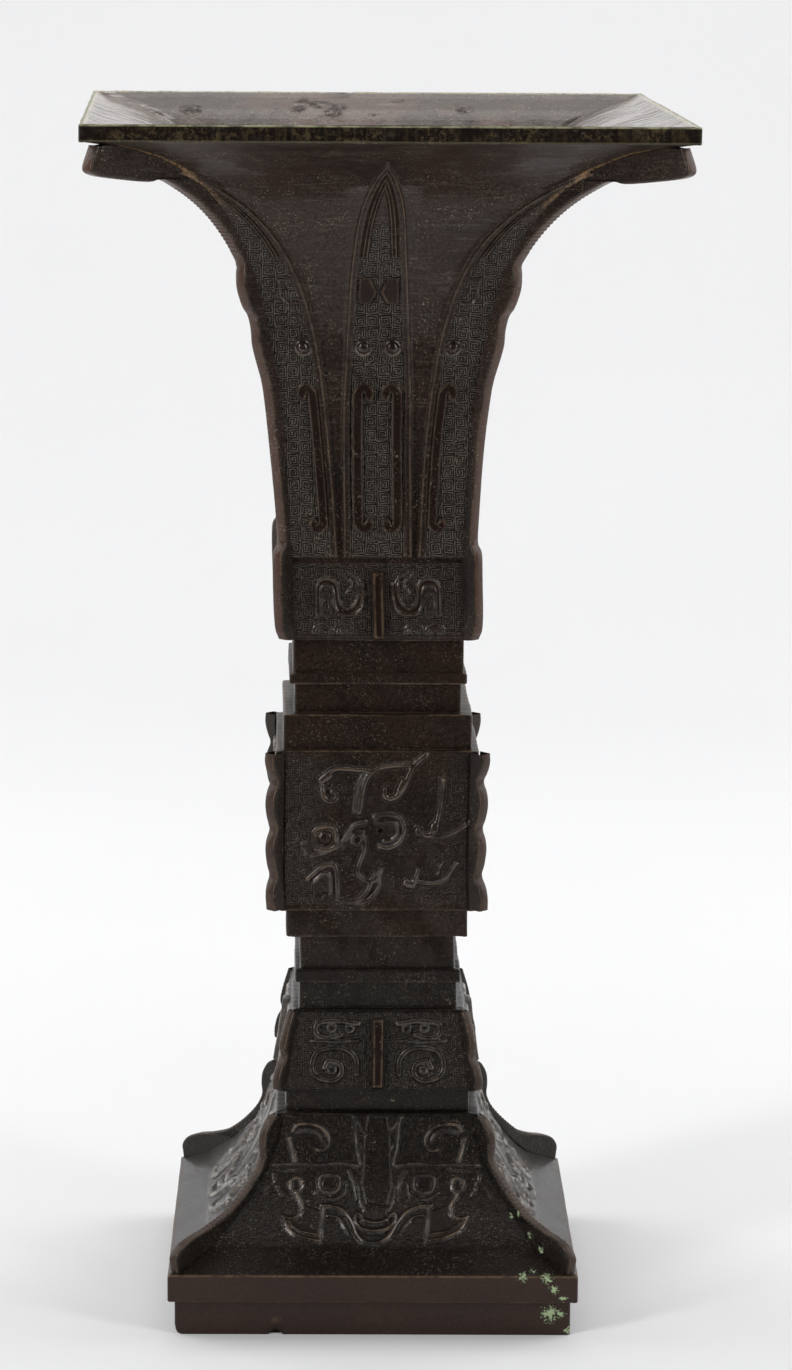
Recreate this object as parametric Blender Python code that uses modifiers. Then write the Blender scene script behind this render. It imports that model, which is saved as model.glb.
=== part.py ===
"""A square bronze gu: a tall hollow beaker with a flaring mouth, a boxed waist and a spreading foot.

The whole vessel is one casting. A square profile is turned in four steps, four upright flanges stand on its
corners, and the relief is drawn flat, storey by storey, and then laid on each of the four faces.
Lengths are in metres, +Z is up, and the front face looks along -Y.
"""

import math

import bmesh
import bpy
from mathutils import Matrix, Vector
from mathutils.geometry import interpolate_bezier

MM = 0.001
ROOT2 = math.sqrt(2.0)
FLAT = math.radians(0.05)

# Heights of the storeys, from the ground up
BASE_HEIGHT = 11.8 * MM
PLINTH_HEIGHT = 9.0 * MM
SLOPE_HEIGHT = 6.4 * MM
MASK_HEIGHT = 39.6 * MM
COLLAR_HEIGHT = 7.4 * MM
LOWER_BAND_HEIGHT = 27.2 * MM
LOWER_NECKING_HEIGHT = 9.1 * MM
LOWER_RING_HEIGHT = 4.4 * MM
LOWER_RECESS_HEIGHT = 11.9 * MM
LOWER_STEP_HEIGHT = 9.8 * MM
BOX_HEIGHT = 54.2 * MM
UPPER_STEP_HEIGHT = 11.7 * MM
UPPER_RECESS_HEIGHT = 10.0 * MM
UPPER_RING_HEIGHT = 3.4 * MM
UPPER_NECKING_HEIGHT = 11.4 * MM
BAND_HEIGHT = 26.9 * MM
NECK_HEIGHT = 140.2 * MM
LIP_HEIGHT = 5.6 * MM

# Half widths of the storeys, from the axis to the face
BASE_HALF = 65.5 * MM
PLINTH_HALF = 67.8 * MM
MASK_FOOT_HALF = 56.6 * MM
MASK_TOP_HALF = 34.0 * MM
COLLAR_HALF = 30.8 * MM
LOWER_BAND_FOOT_HALF = 33.0 * MM
LOWER_BAND_TOP_HALF = 28.8 * MM
LOWER_NECKING_HALF = 26.4 * MM
LOWER_RING_HALF = 27.7 * MM
LOWER_RECESS_HALF = 25.8 * MM
LOWER_STEP_HALF = 30.2 * MM
BOX_HALF = 33.5 * MM
UPPER_STEP_HALF = 31.2 * MM
UPPER_RECESS_HALF = 27.6 * MM
UPPER_RING_HALF = 29.4 * MM
UPPER_NECKING_HALF = 28.2 * MM
BAND_HALF = 30.6 * MM
NECK_HALF = 30.2 * MM
NECK_TOP_HALF = 94.9 * MM
LIP_OVERHANG = 1.3 * MM
LIP_HALF = NECK_TOP_HALF + LIP_OVERHANG

# The flare of the neck and of the mask storey: how far each curve runs on in the direction of its ends
NECK_RISE = 85.0 * MM
NECK_LEAN = 3.8 * MM
MOUTH_RUN = 54.0 * MM
MOUTH_DROP = 9.0 * MM
NECK_STEPS = 11
MASK_RISE = 15.3 * MM
MASK_LEAN = 3.5 * MM
MASK_RUN = 14.7 * MM
MASK_DROP = 13.1 * MM
MASK_STEPS = 5

# The casting is hollow above the floor and below it
WALL = 4.4 * MM
LIP_EDGE = 1.2 * MM
FLOOR_THICKNESS = 4.5 * MM
TWIST = math.radians(1.7)
SWAY = [
    (26.0 * MM, 0.0), (42.0 * MM, 1.3 * MM), (98.0 * MM, 1.4 * MM), (136.0 * MM, 0.6 * MM),
    (150.0 * MM, 0.0), (200.0 * MM, 0.3 * MM), (225.0 * MM, 0.4 * MM), (255.0 * MM, -0.3 * MM),
    (300.0 * MM, -1.0 * MM), (350.0 * MM, -1.1 * MM), (390.0 * MM, 0.0),
]

# Corner flanges. Rows of crests are (share of the drop from the flange's top, share of the reach)
FLANGE_THICKNESS = 4.4 * MM
LOWER_FLANGE_THICKNESS = 3.6 * MM
FLANGE_ROOT = 1.6 * MM
FLANGE_END_GAP = 0.5 * MM
BEAK_LENGTH = 20.7 * MM
BEAK_DEPTH = 9.7 * MM
BEAK_SETBACK = 2.2 * MM
MOUTH_EDGE_TOP = 0.899 * NECK_HEIGHT
MOUTH_EDGE_REACH = 4.2 * MM
MOUTH_EDGE_LOW_REACH = 1.2 * MM
HOOKS_TOP = 0.692 * NECK_HEIGHT
HOOKS_HEIGHT = 0.246 * NECK_HEIGHT
HOOK_GAP = 3.0 * MM
HOOK_REACH = 4.9 * MM
HOOK_CRESTS = [(0.0, 0.15), (0.13, 1.0), (0.33, 0.95), (0.42, 0.35), (0.56, 0.35), (0.7, 0.75), (0.86, 0.55)]
SPINE_REACH = 2.3 * MM
SPINE_FOOT_REACH = 1.5 * MM
BAND_FLANGE_REACH = 3.7 * MM
BAND_FLANGE_RISE = 3.4 * MM
BOX_LOBE_REACH = 3.6 * MM
BOX_DIP_REACH = 0.5 * MM
BOX_CRESTS = [
    (0.0, 0.9), (0.06, 1.0), (0.13, 0.6), (0.185, 0.0), (0.25, 0.65), (0.33, 0.85), (0.42, 0.55),
    (0.485, 0.0), (0.55, 0.6), (0.62, 0.75), (0.72, 0.45), (0.785, 0.0), (0.85, 0.65), (0.92, 0.85),
    (1.0, 0.75),
]
LOWER_LOBE_REACH = 2.6 * MM
LOWER_DIP_REACH = 0.4 * MM
BAND_CRESTS = [(0.0, 0.1), (0.25, 0.65), (0.47, 0.85), (0.56, 0.0), (0.7, 0.8), (0.88, 1.0), (1.0, 0.6)]
FOOT_LOBE_REACH = 4.1 * MM
FOOT_LOBE_HEIGHT = 13.0 * MM
FOOT_LOBE_GAP = 3.5 * MM
FOOT_CRESTS = [(0.0, 0.2), (0.14, 0.7), (0.5, 1.0), (0.8, 0.7), (1.0, 0.15)]
FOOT_EDGE_REACH = 0.4 * MM
FOOT_EDGE_LOW_REACH = 2.9 * MM
KNOB_LENGTH = 13.5 * MM
KNOB_HEIGHT = 12.6 * MM
KNOB_SETBACK = 2.0 * MM

# Relief
RELIEF_ROOT = 1.0 * MM
SLAB_RISE = 0.8 * MM
BORDER_RISE = 1.3 * MM
BORDER_WIDTH = 1.9 * MM
BAR_RISE = 1.9 * MM
BAR_WIDTH = 2.8 * MM
BOSS_RISE = 2.2 * MM
BOSS_RADIUS = 2.2 * MM
LINE_RISE = 0.9 * MM
LINE_WIDTH = 1.5 * MM
BLADE_TIP_GAP = 9.2 * MM
BLADE_HEIGHT = NECK_HEIGHT - BLADE_TIP_GAP
BLADE_HALF = 11.4 * MM
BLADE_TAPER = 0.2
BLADE_GAP = 1.6 * MM
CORNER_BLADE_HALF = NECK_HALF - BLADE_HALF - BLADE_GAP
BLADE_FOOT_GAP = 0.8 * MM
BORDER_INSET = 0.4 * MM
BEND_GAP = 0.3 * MM
BAR_FOOT = 0.08 * BLADE_HEIGHT
BAR_HEIGHT = 0.36 * BLADE_HEIGHT
BAR_MARGIN = 5.0 * MM
BAR_OFFSET = BLADE_HALF - BAR_MARGIN
BAR_HOOK = 3.6 * MM
CORNER_BAR_MARGIN = 4.2 * MM
CORNER_BAR_OFFSET = CORNER_BLADE_HALF - CORNER_BAR_MARGIN
BOSS_HEIGHT = 0.542 * BLADE_HEIGHT
BOSS_OFFSET = 0.41 * BLADE_HALF
CORNER_BOSS_OFFSET = 0.71 * CORNER_BLADE_HALF
BOW_TIE_HEIGHT = 0.684 * BLADE_HEIGHT
BOW_TIE_HALF_HEIGHT = 4.4 * MM
BOW_TIE_HALF_WIDTH = 0.56 * BLADE_HALF
KEEL_WIDTH = 4.0 * MM
KEEL_RISE = 2.8 * MM
KEEL_END_GAP = 3.0 * MM
EYE_RADIUS = 3.7 * MM
EYE_RISE = 1.5 * MM
NOSE_RADIUS = 5.2 * MM
SNOUT_RADIUS = 0.111 * MASK_HEIGHT
SNOUT_HEIGHT = 0.197 * MASK_HEIGHT
SCALLOP = [(-1.0, 0.0), (-0.45, 1.0), (0.45, 1.0), (1.0, 0.0)]

# Wear
CHIP_OFFSET = 32.0 * MM
CHIP_WIDTH = 4.2 * MM
CHIP_HEIGHT = 2.0 * MM
CHIP_DEPTH = 1.6 * MM
WORN_CORNER = 3.0 * MM

# Levels, each the sum of the storeys below it
BASE_TOP = BASE_HEIGHT
PLINTH_TOP = BASE_TOP + PLINTH_HEIGHT
MASK_BASE = PLINTH_TOP + SLOPE_HEIGHT
MASK_TOP = MASK_BASE + MASK_HEIGHT
LOWER_BAND_BASE = MASK_TOP + COLLAR_HEIGHT
LOWER_BAND_TOP = LOWER_BAND_BASE + LOWER_BAND_HEIGHT
LOWER_RING_BASE = LOWER_BAND_TOP + LOWER_NECKING_HEIGHT
LOWER_RING_TOP = LOWER_RING_BASE + LOWER_RING_HEIGHT
LOWER_STEP_BASE = LOWER_RING_TOP + LOWER_RECESS_HEIGHT
BOX_BASE = LOWER_STEP_BASE + LOWER_STEP_HEIGHT
BOX_TOP = BOX_BASE + BOX_HEIGHT
UPPER_STEP_TOP = BOX_TOP + UPPER_STEP_HEIGHT
UPPER_RING_BASE = UPPER_STEP_TOP + UPPER_RECESS_HEIGHT
UPPER_RING_TOP = UPPER_RING_BASE + UPPER_RING_HEIGHT
BAND_BASE = UPPER_RING_TOP + UPPER_NECKING_HEIGHT
NECK_BASE = BAND_BASE + BAND_HEIGHT
LIP_BASE = NECK_BASE + NECK_HEIGHT
LIP_TOP = LIP_BASE + LIP_HEIGHT

# The carved storeys, each as (base, height, half width). Their drawings are given as shares of these
BAND = (BAND_BASE, BAND_HEIGHT, BAND_HALF)
BOX = (BOX_BASE, BOX_HEIGHT, BOX_HALF)
LOWER_BAND = (LOWER_BAND_BASE, LOWER_BAND_HEIGHT, LOWER_BAND_TOP_HALF)
MASK = (MASK_BASE, MASK_HEIGHT, MASK_TOP_HALF)


# Profile of the vessel

def flare(foot, top, foot_handle, top_handle, steps):
    """Points of a curve from its foot to its top, each (half width, height)."""
    ends = [Vector((p[0], p[1], 0.0)) for p in (foot, foot_handle, top_handle, top)]
    return [(p.x, p.y) for p in interpolate_bezier(*ends, steps + 1)]


def neck_curve(steps=NECK_STEPS):
    foot = (NECK_HALF, NECK_BASE)
    top = (NECK_TOP_HALF, LIP_BASE)
    rising = (NECK_HALF + NECK_LEAN, NECK_BASE + NECK_RISE)
    flaring = (NECK_TOP_HALF - MOUTH_RUN, LIP_BASE - MOUTH_DROP)
    return flare(foot, top, rising, flaring, steps)


def mask_curve(steps=MASK_STEPS):
    foot = (MASK_FOOT_HALF, MASK_BASE)
    top = (MASK_TOP_HALF, MASK_TOP)
    spreading = (MASK_FOOT_HALF - MASK_RUN, MASK_BASE + MASK_DROP)
    standing = (MASK_TOP_HALF + MASK_LEAN, MASK_TOP - MASK_RISE)
    return flare(foot, top, spreading, standing, steps)


def storey(half, base, top, top_half=None):
    return [(half, base), (half if top_half is None else top_half, top)]


def outer_profile(neck_steps=NECK_STEPS, mask_steps=MASK_STEPS):
    """The outside of the vessel as (half width, height), from the ground to the lip."""
    points = storey(BASE_HALF, 0.0, BASE_TOP)
    points += storey(PLINTH_HALF, BASE_TOP, PLINTH_TOP)
    points += mask_curve(mask_steps)
    points += storey(COLLAR_HALF, MASK_TOP, LOWER_BAND_BASE)
    points += storey(LOWER_BAND_FOOT_HALF, LOWER_BAND_BASE, LOWER_BAND_TOP, LOWER_BAND_TOP_HALF)
    points += storey(LOWER_NECKING_HALF, LOWER_BAND_TOP, LOWER_RING_BASE)
    points += storey(LOWER_RING_HALF, LOWER_RING_BASE, LOWER_RING_TOP)
    points += storey(LOWER_RECESS_HALF, LOWER_RING_TOP, LOWER_STEP_BASE)
    points += storey(LOWER_STEP_HALF, LOWER_STEP_BASE, BOX_BASE)
    points += storey(BOX_HALF, BOX_BASE, BOX_TOP)
    points += storey(UPPER_STEP_HALF, BOX_TOP, UPPER_STEP_TOP)
    points += storey(UPPER_RECESS_HALF, UPPER_STEP_TOP, UPPER_RING_BASE)
    points += storey(UPPER_RING_HALF, UPPER_RING_BASE, UPPER_RING_TOP)
    points += storey(UPPER_NECKING_HALF, UPPER_RING_TOP, BAND_BASE)
    points += storey(BAND_HALF, BAND_BASE, NECK_BASE)
    points += neck_curve(neck_steps)
    points += storey(LIP_HALF, LIP_BASE, LIP_TOP)
    return points


def offset(points, distance):
    """A line of (half width, height) points moved sideways, to the right of its own direction."""
    moved = []
    for i, point in enumerate(points):
        before = Vector(points[max(i - 1, 0)])
        after = Vector(points[min(i + 1, len(points) - 1)])
        along = (after - before).normalized()
        moved.append((point[0] + distance * along.y, point[1] - distance * along.x))
    return moved


def well_profile():
    """The inside of the vessel from the lip down to the floor: one wall behind the outside's main forms."""
    neck = offset(neck_curve(), -WALL)
    below_lip = [p for p in neck if p[0] < LIP_HALF - 4 * LIP_EDGE and p[1] < LIP_TOP - LIP_EDGE]
    low = min(UPPER_RECESS_HALF, UPPER_NECKING_HALF) - WALL
    box_edge = 0.5 * (UPPER_STEP_HEIGHT + LOWER_STEP_HEIGHT)
    line = [(LIP_HALF - LIP_EDGE, LIP_TOP)]
    line += below_lip[::-1]
    line.append((low, UPPER_STEP_TOP))
    line.append((BOX_HALF - WALL, BOX_TOP - box_edge))
    line.append((BOX_HALF - WALL, BOX_BASE + box_edge))
    line.append((LOWER_RECESS_HALF - WALL, LOWER_STEP_BASE))
    line.append((LOWER_RECESS_HALF - WALL, LOWER_RING_TOP + FLOOR_THICKNESS))
    return line


def hollow_profile():
    """The underside of the foot, from the ground up to the roof of its hollow."""
    mask = offset(mask_curve(), -WALL)
    line = [(BASE_HALF - WALL, 0.0), (BASE_HALF - WALL, BASE_TOP)]
    line += [p for p in mask if p[1] < MASK_TOP - WALL]
    line.append((COLLAR_HALF - WALL, MASK_TOP))
    line.append((COLLAR_HALF - WALL, LOWER_BAND_BASE + WALL))
    line.append((LOWER_RECESS_HALF - WALL, LOWER_BAND_TOP))
    line.append((LOWER_RECESS_HALF - WALL, LOWER_RING_TOP))
    return line


FINE_PROFILE = [(z, half) for half, z in outer_profile(64, 48)]


def face_at(z):
    """The half width of the vessel at a height, and the outward normal there, as (sideways, up)."""
    for (low, half_low), (high, half_high) in zip(FINE_PROFILE, FINE_PROFILE[1:]):
        if low < high and z <= high:
            share = (z - low) / (high - low)
            slope = Vector((high - low, half_low - half_high)).normalized()
            return half_low + share * (half_high - half_low), slope
    return FINE_PROFILE[-1][1], Vector((1.0, 0.0))


# Building helpers

def collection(name):
    made = bpy.data.collections.new(name)
    bpy.context.scene.collection.children.link(made)
    return made


def curved_cuts():
    """Heights at which a flat drawing bends with the curved storeys, just above the bends of the vessel."""
    return sorted(z + BEND_GAP for half, z in neck_curve()[1:-1] + mask_curve()[1:-1])


def add_object(name, data, group):
    made = bpy.data.objects.new(name, data)
    group.objects.link(made)
    return made


def as_helper(made):
    made.hide_render = True
    made.display_type = "WIRE"
    return made


def solid_mesh(source):
    """The closed mesh of a curve or of an object with modifiers, in world space. The source is removed."""
    bpy.context.view_layer.update()
    graph = bpy.context.evaluated_depsgraph_get()
    mesh = bpy.data.meshes.new_from_object(source.evaluated_get(graph))
    mesh.transform(source.matrix_world)
    data = source.data
    bpy.data.objects.remove(source)
    if isinstance(data, bpy.types.Curve):
        bpy.data.curves.remove(data)
    shape = bmesh.new()
    shape.from_mesh(mesh)
    bmesh.ops.remove_doubles(shape, verts=shape.verts, dist=0.001 * MM)
    bmesh.ops.dissolve_limit(shape, angle_limit=FLAT, verts=shape.verts, edges=shape.edges)
    bmesh.ops.recalc_face_normals(shape, faces=shape.faces)
    shape.to_mesh(mesh)
    shape.free()
    return mesh


def flat_curve(points, group, closed=False):
    """A level curve object through (x, y) points."""
    curve = bpy.data.curves.new("outline", "CURVE")
    curve.dimensions = "2D"
    spline = curve.splines.new("POLY")
    spline.points.add(len(points) - 1)
    for slot, point in zip(spline.points, points):
        slot.co = (point[0], point[1], 0.0, 1.0)
    spline.use_cyclic_u = closed
    return add_object("outline", curve, group)


def plate(points, low, high, group):
    """A flat plate with the given outline, from one height above its plane to another."""
    source = flat_curve(points, group, closed=True)
    source.data.fill_mode = "BOTH"
    source.data.extrude = 0.5 * (high - low)
    source.location.z = 0.5 * (high + low)
    return solid_mesh(source)


def strip(points, width, rise, group, sharp=False):
    """A raised line with sloping sides and a flat or a sharp top, rooted under its plane."""
    half = 0.5 * width
    top = 0.6 * half
    section = [(-half, -RELIEF_ROOT), (half, -RELIEF_ROOT)]
    section += [(0.0, rise)] if sharp else [(top, rise), (-top, rise)]
    shape = flat_curve(section, group, closed=True)
    source = flat_curve(points, group)
    source.data.bevel_mode = "OBJECT"
    source.data.bevel_object = shape
    source.data.use_fill_caps = True
    mesh = solid_mesh(source)
    data = shape.data
    bpy.data.objects.remove(shape)
    bpy.data.curves.remove(data)
    return mesh


def boss(centre, radius, rise):
    """A round stud with a narrower flat top."""
    mesh = bpy.data.meshes.new("boss")
    shape = bmesh.new()
    depth = rise + RELIEF_ROOT
    place = Matrix.Translation((centre[0], centre[1], 0.5 * depth - RELIEF_ROOT))
    bmesh.ops.create_cone(
        shape, cap_ends=True, segments=6, radius1=radius, radius2=0.45 * radius, depth=depth, matrix=place
    )
    shape.to_mesh(mesh)
    shape.free()
    return mesh


def arc(centre, radius, start, end, steps):
    """Points of an arc, with its angles in degrees."""
    angles = [math.radians(start + (end - start) * i / steps) for i in range(steps + 1)]
    return [(centre[0] + radius * math.cos(a), centre[1] + radius * math.sin(a)) for a in angles]


def spot(storey, across, up):
    """A point of a carved storey's drawing, from its shares of the half width and of the height."""
    base, height, half = storey
    return (across * half, base + up * height)


def mirrored(points):
    return [(-x, y) for x, y in points]


# Relief, drawn flat: x from the middle of the face, y the height, z the distance from the face

def blade_share(t, taper):
    """How much of a blade's full width is left at a share of its height."""
    narrowing = min(max((t - 0.4) / 0.4, 0.0), 1.0)
    return (1 - taper * narrowing) * (1 - t ** (12 if taper else 8))


def blade_edge(half, taper, foot_gap, tip_gap, inset=0.0):
    """One edge of a blade from its foot to its tip, as (distance from its middle, height)."""
    foot = NECK_BASE + foot_gap
    tip = NECK_BASE + BLADE_HEIGHT - tip_gap
    bends = [z for z in curved_cuts() if foot + BLADE_FOOT_GAP < z < tip - 0.6 * tip_gap]
    line = []
    for height in [foot] + bends:
        t = (height - NECK_BASE) / BLADE_HEIGHT
        line.append((half * blade_share(t, taper) - inset, height))
    return [point for point in line if point[0] > 0.5 * inset] + [(0.0, tip)]


def border_edges(half, taper):
    """The outer and the inner edge of the border that runs round a blade."""
    foot = 2 * BLADE_FOOT_GAP
    outer = blade_edge(half, taper, foot, 2 * BORDER_INSET, BORDER_INSET)
    inner = blade_edge(half, taper, foot, 2 * BORDER_INSET + 2.2 * BORDER_WIDTH, BORDER_INSET + BORDER_WIDTH)
    return outer, inner


def hooked_bar(x, toward, group):
    """A tall bar with both ends hooked the same way."""
    foot = NECK_BASE + BAR_FOOT
    top = foot + BAR_HEIGHT
    half = 0.5 * BAR_WIDTH
    bevel = 0.5 * half
    end = toward * (half + BAR_HOOK)
    outer = [(end, foot + bevel), (-toward * half, foot + 0.5 * bevel)]
    outer += [(a, foot + top - z) for a, z in outer[::-1]]
    inner = [(end, foot + 0.8 * BAR_WIDTH), (toward * half, foot + BAR_WIDTH)]
    inner = [(a, foot + top - z) for a, z in inner] + inner[::-1]
    return plate([(x + a, z) for a, z in outer + inner], -RELIEF_ROOT, BAR_RISE, group)


def bow_tie():
    middle = NECK_BASE + BOW_TIE_HEIGHT
    pinch = 0.25 * BOW_TIE_HALF_HEIGHT
    right = [
        (0.0, middle + pinch),
        (BOW_TIE_HALF_WIDTH, middle + BOW_TIE_HALF_HEIGHT),
        (BOW_TIE_HALF_WIDTH, middle - BOW_TIE_HALF_HEIGHT),
        (0.0, middle - pinch),
    ]
    return right + mirrored(right[2:3]) + mirrored(right[1:2])


def blade_slab(group):
    """The slab of a face's middle blade."""
    edge = blade_edge(BLADE_HALF, BLADE_TAPER, BLADE_FOOT_GAP, 0.0)
    return [plate(edge + mirrored(edge[:-1])[::-1], -RELIEF_ROOT, SLAB_RISE, group)]


def corner_slab(group):
    """Half the slab of a corner blade, drawn from the corner: x is the distance from the corner."""
    hidden = 0.3 * FLANGE_THICKNESS
    edge = blade_edge(CORNER_BLADE_HALF, 0.0, BLADE_FOOT_GAP, 0.0)
    edge = [(max(x, 2 * hidden), z) for x, z in edge]
    root = [(hidden, z) for x, z in edge]
    return [plate(edge + root[::-1], -RELIEF_ROOT, SLAB_RISE, group)]


def blade_drawing(group):
    """The drawing on a middle blade: a border over its tip, two hooked bars, two bosses and a bow tie."""
    outer, inner = border_edges(BLADE_HALF, BLADE_TAPER)
    border = outer + mirrored(outer[:-1])[::-1] + mirrored(inner[:-1]) + inner[::-1]
    meshes = [plate(outline, -RELIEF_ROOT, BORDER_RISE, group) for outline in (border, bow_tie())]
    for side in (-1, 1):
        meshes.append(hooked_bar(side * BAR_OFFSET, -side, group))
        meshes.append(boss((side * BOSS_OFFSET, NECK_BASE + BOSS_HEIGHT), BOSS_RADIUS, BOSS_RISE))
    return meshes


def corner_drawing(group):
    """The drawing on half a corner blade, drawn from the corner."""
    outer, inner = border_edges(CORNER_BLADE_HALF, 0.0)
    hidden = 0.3 * FLANGE_THICKNESS
    border = [(max(x, hidden), z) for x, z in outer + inner[::-1]]
    return [
        plate(border, -RELIEF_ROOT, BORDER_RISE, group),
        hooked_bar(CORNER_BAR_OFFSET, -1, group),
        boss((CORNER_BOSS_OFFSET, NECK_BASE + BOSS_HEIGHT), BOSS_RADIUS, BOSS_RISE),
    ]


def keel(base, top, group):
    """The upright bar in the middle of a band."""
    half = 0.5 * KEEL_WIDTH
    outline = [(-half, base), (half, base), (half, top), (-half, top)]
    return plate(outline, -RELIEF_ROOT, KEEL_RISE, group)


def drawn_lines(lines, storey, side, group, plain):
    """Raised lines of the right half of a storey. A side of -1 draws their mirror images."""
    meshes = []
    for line in lines:
        points = [spot(storey, side * across, up) for across, up in line]
        meshes.append(strip(points, LINE_WIDTH, LINE_RISE, group, sharp=plain))
    return meshes


def round_plate(centre, radius, rise, group):
    """An eight-sided plate, for an eye or a nose."""
    rim = arc(centre, radius, 22.5, 382.5, 8)
    return plate(rim[:-1], -RELIEF_ROOT, rise, group)


def band_lines(side, group, plain):
    """Half the band under the neck: a scroll over two scallops."""
    scroll = [
        (0.703, 0.465), (0.719, 0.669), (0.605, 0.751), (0.5, 0.651), (0.477, 0.465), (0.359, 0.394),
        (0.255, 0.502), (0.281, 0.669),
    ]
    humps = [[(x + 0.105 * s, 0.126 + 0.082 * r) for s, r in SCALLOP] for x in (0.392, 0.67)]
    return drawn_lines([scroll[::2]] if plain else [scroll] + humps, BAND, side, group, plain)


def box_front_lines(side, group):
    """The worn dragon on the front of the boxed waist, as loose curls. Its two halves aren't alike."""
    right = [
        [(0.478, 0.963), (0.37, 0.908), (0.281, 0.803), (0.215, 0.731), (0.125, 0.712), (0.078, 0.756)],
        [(0.648, 0.815), (0.627, 0.694), (0.603, 0.583), (0.543, 0.48), (0.43, 0.487)],
        [(0.466, 0.435), (0.597, 0.428), (0.758, 0.472), (0.854, 0.52)],
        [(0.304, 0.188), (0.358, 0.166), (0.519, 0.173), (0.669, 0.203), (0.788, 0.303)],
    ]
    left = [
        [(0.466, 0.716), (0.519, 0.775), (0.478, 0.86), (0.346, 0.891), (0.131, 0.889)],
        [(-0.269, 0.911), (-0.149, 0.904), (-0.006, 0.886), (0.101, 0.834), (0.155, 0.747), (0.185, 0.618)],
        [
            (0.125, 0.45), (0.209, 0.469), (0.227, 0.413), (0.143, 0.395), (0.137, 0.314), (0.188, 0.247),
            (0.101, 0.181),
        ],
        [(0.37, 0.055), (0.209, 0.059), (0.084, 0.129), (0.024, 0.229)],
        [(0.681, 0.196), (0.567, 0.266), (0.436, 0.284), (0.388, 0.203), (0.388, 0.114)],
    ]
    return drawn_lines(right if side > 0 else left, BOX, side, group, plain=False)


def box_side_lines(side, group):
    """A plainer pair of curls for the other faces of the waist."""
    curls = [
        [(0.149, 0.738), (0.239, 0.886), (0.507, 0.858), (0.597, 0.664)],
        [(0.119, 0.332), (0.209, 0.157), (0.478, 0.157), (0.657, 0.314)],
    ]
    return drawn_lines(curls, BOX, side, group, plain=True)


def lower_band_lines(side, group, plain):
    """Half the band over the foot: two rolled scrolls."""
    scrolls = [
        [(0.226, 0.831), (0.694, 0.838), (0.708, 0.699), (0.451, 0.684)],
        [
            (0.243, 0.184), (0.278, 0.463), (0.521, 0.537), (0.764, 0.441), (0.764, 0.206), (0.538, 0.132),
            (0.472, 0.324),
        ],
    ]
    return drawn_lines([scrolls[1][::2]] if plain else scrolls, LOWER_BAND, side, group, plain)


def mask_lines(side, group, plain):
    """Half the beast mask of the foot: horn, brow, nose line, cheek, fang and jaw. A plain one has fewer."""
    horn = [(0.838, 0.833), (0.776, 0.899), (0.576, 0.894), (0.476, 0.795), (0.512, 0.717), (0.606, 0.697)]
    brow = [(0.956, 0.586), (0.588, 0.591), (0.191, 0.576)]
    jaw = [(0.541, 0.278), (0.365, 0.242), (0.253, 0.152), (0.165, 0.066), (0.018, 0.035)]
    horn_root = [(0.871, 0.788), (0.835, 0.692), (0.812, 0.621)]
    nose_line = [(0.235, 0.949), (0.212, 0.783), (0.159, 0.621)]
    cheek = [(0.8, 0.374), (0.847, 0.434), (0.788, 0.465), (0.747, 0.404), (0.776, 0.293), (0.871, 0.232)]
    fang = [(0.524, 0.222), (0.518, 0.066), (0.724, 0.061), (0.865, 0.152)]
    if plain:
        lines = [horn[::2], brow[::2], jaw[::2]]
    else:
        lines = [horn, brow, jaw, horn_root, nose_line, cheek, fang]
    return drawn_lines(lines, MASK, side, group, plain)


def storey_plates(plain, group):
    """The keels, eyes, noses and snout: pieces with a flat top."""
    band_top = NECK_BASE - KEEL_END_GAP
    lower_top = LOWER_BAND_TOP - KEEL_END_GAP
    plates = [
        keel(BAND_BASE + 0.3 * KEEL_END_GAP, band_top, group),
        keel(LOWER_BAND_BASE + 0.3 * KEEL_END_GAP, lower_top, group),
    ]
    for side in (-1, 1):
        plates.append(round_plate(spot(MASK, side * 0.462, 0.439), EYE_RADIUS, EYE_RISE, group))
    if plain:
        for side in (-1, 1):
            plates.append(round_plate(spot(BOX, side * 0.403, 0.498), EYE_RADIUS, EYE_RISE, group))
    else:
        plates.append(round_plate(spot(BOX, -0.51, 0.461), EYE_RADIUS, EYE_RISE, group))
        plates.append(round_plate(spot(BOX, 0.131, 0.498), NOSE_RADIUS, LINE_RISE, group))
    snout = arc((0.0, MASK_BASE + SNOUT_HEIGHT), SNOUT_RADIUS, 10, -190, 5)
    plates.append(strip(snout, 1.3 * LINE_WIDTH, EYE_RISE, group))
    return plates


def drape(mesh, turn, corner=0):
    """Bends a flat drawing onto a face. A corner of -1 or 1 measures x from that edge of the face."""
    shape = bmesh.new()
    shape.from_mesh(mesh)
    for height in curved_cuts():
        everything = shape.verts[:] + shape.edges[:] + shape.faces[:]
        bmesh.ops.bisect_plane(
            shape, geom=everything, dist=0.01 * MM, plane_co=(0, height, 0), plane_no=(0, 1, 0)
        )
    for vert in shape.verts:
        x, z, rise = vert.co
        half, normal = face_at(z)
        if corner:
            x = corner * (half - x)
        vert.co = (x, -(half + rise * normal.x), z + rise * normal.y)
    bmesh.ops.transform(shape, matrix=Matrix.Rotation(turn, 3, "Z"), verts=shape.verts)
    bmesh.ops.recalc_face_normals(shape, faces=shape.faces)
    draped = bpy.data.meshes.new("draped")
    shape.to_mesh(draped)
    shape.free()
    return draped


def joined(name, meshes, group):
    """One helper object that holds several closed meshes."""
    shape = bmesh.new()
    for mesh in meshes:
        shape.from_mesh(mesh)
        bpy.data.meshes.remove(mesh)
    whole = bpy.data.meshes.new(name)
    shape.to_mesh(whole)
    shape.free()
    return as_helper(add_object(name, whole, group))


# Vessel, flanges and wear

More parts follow.
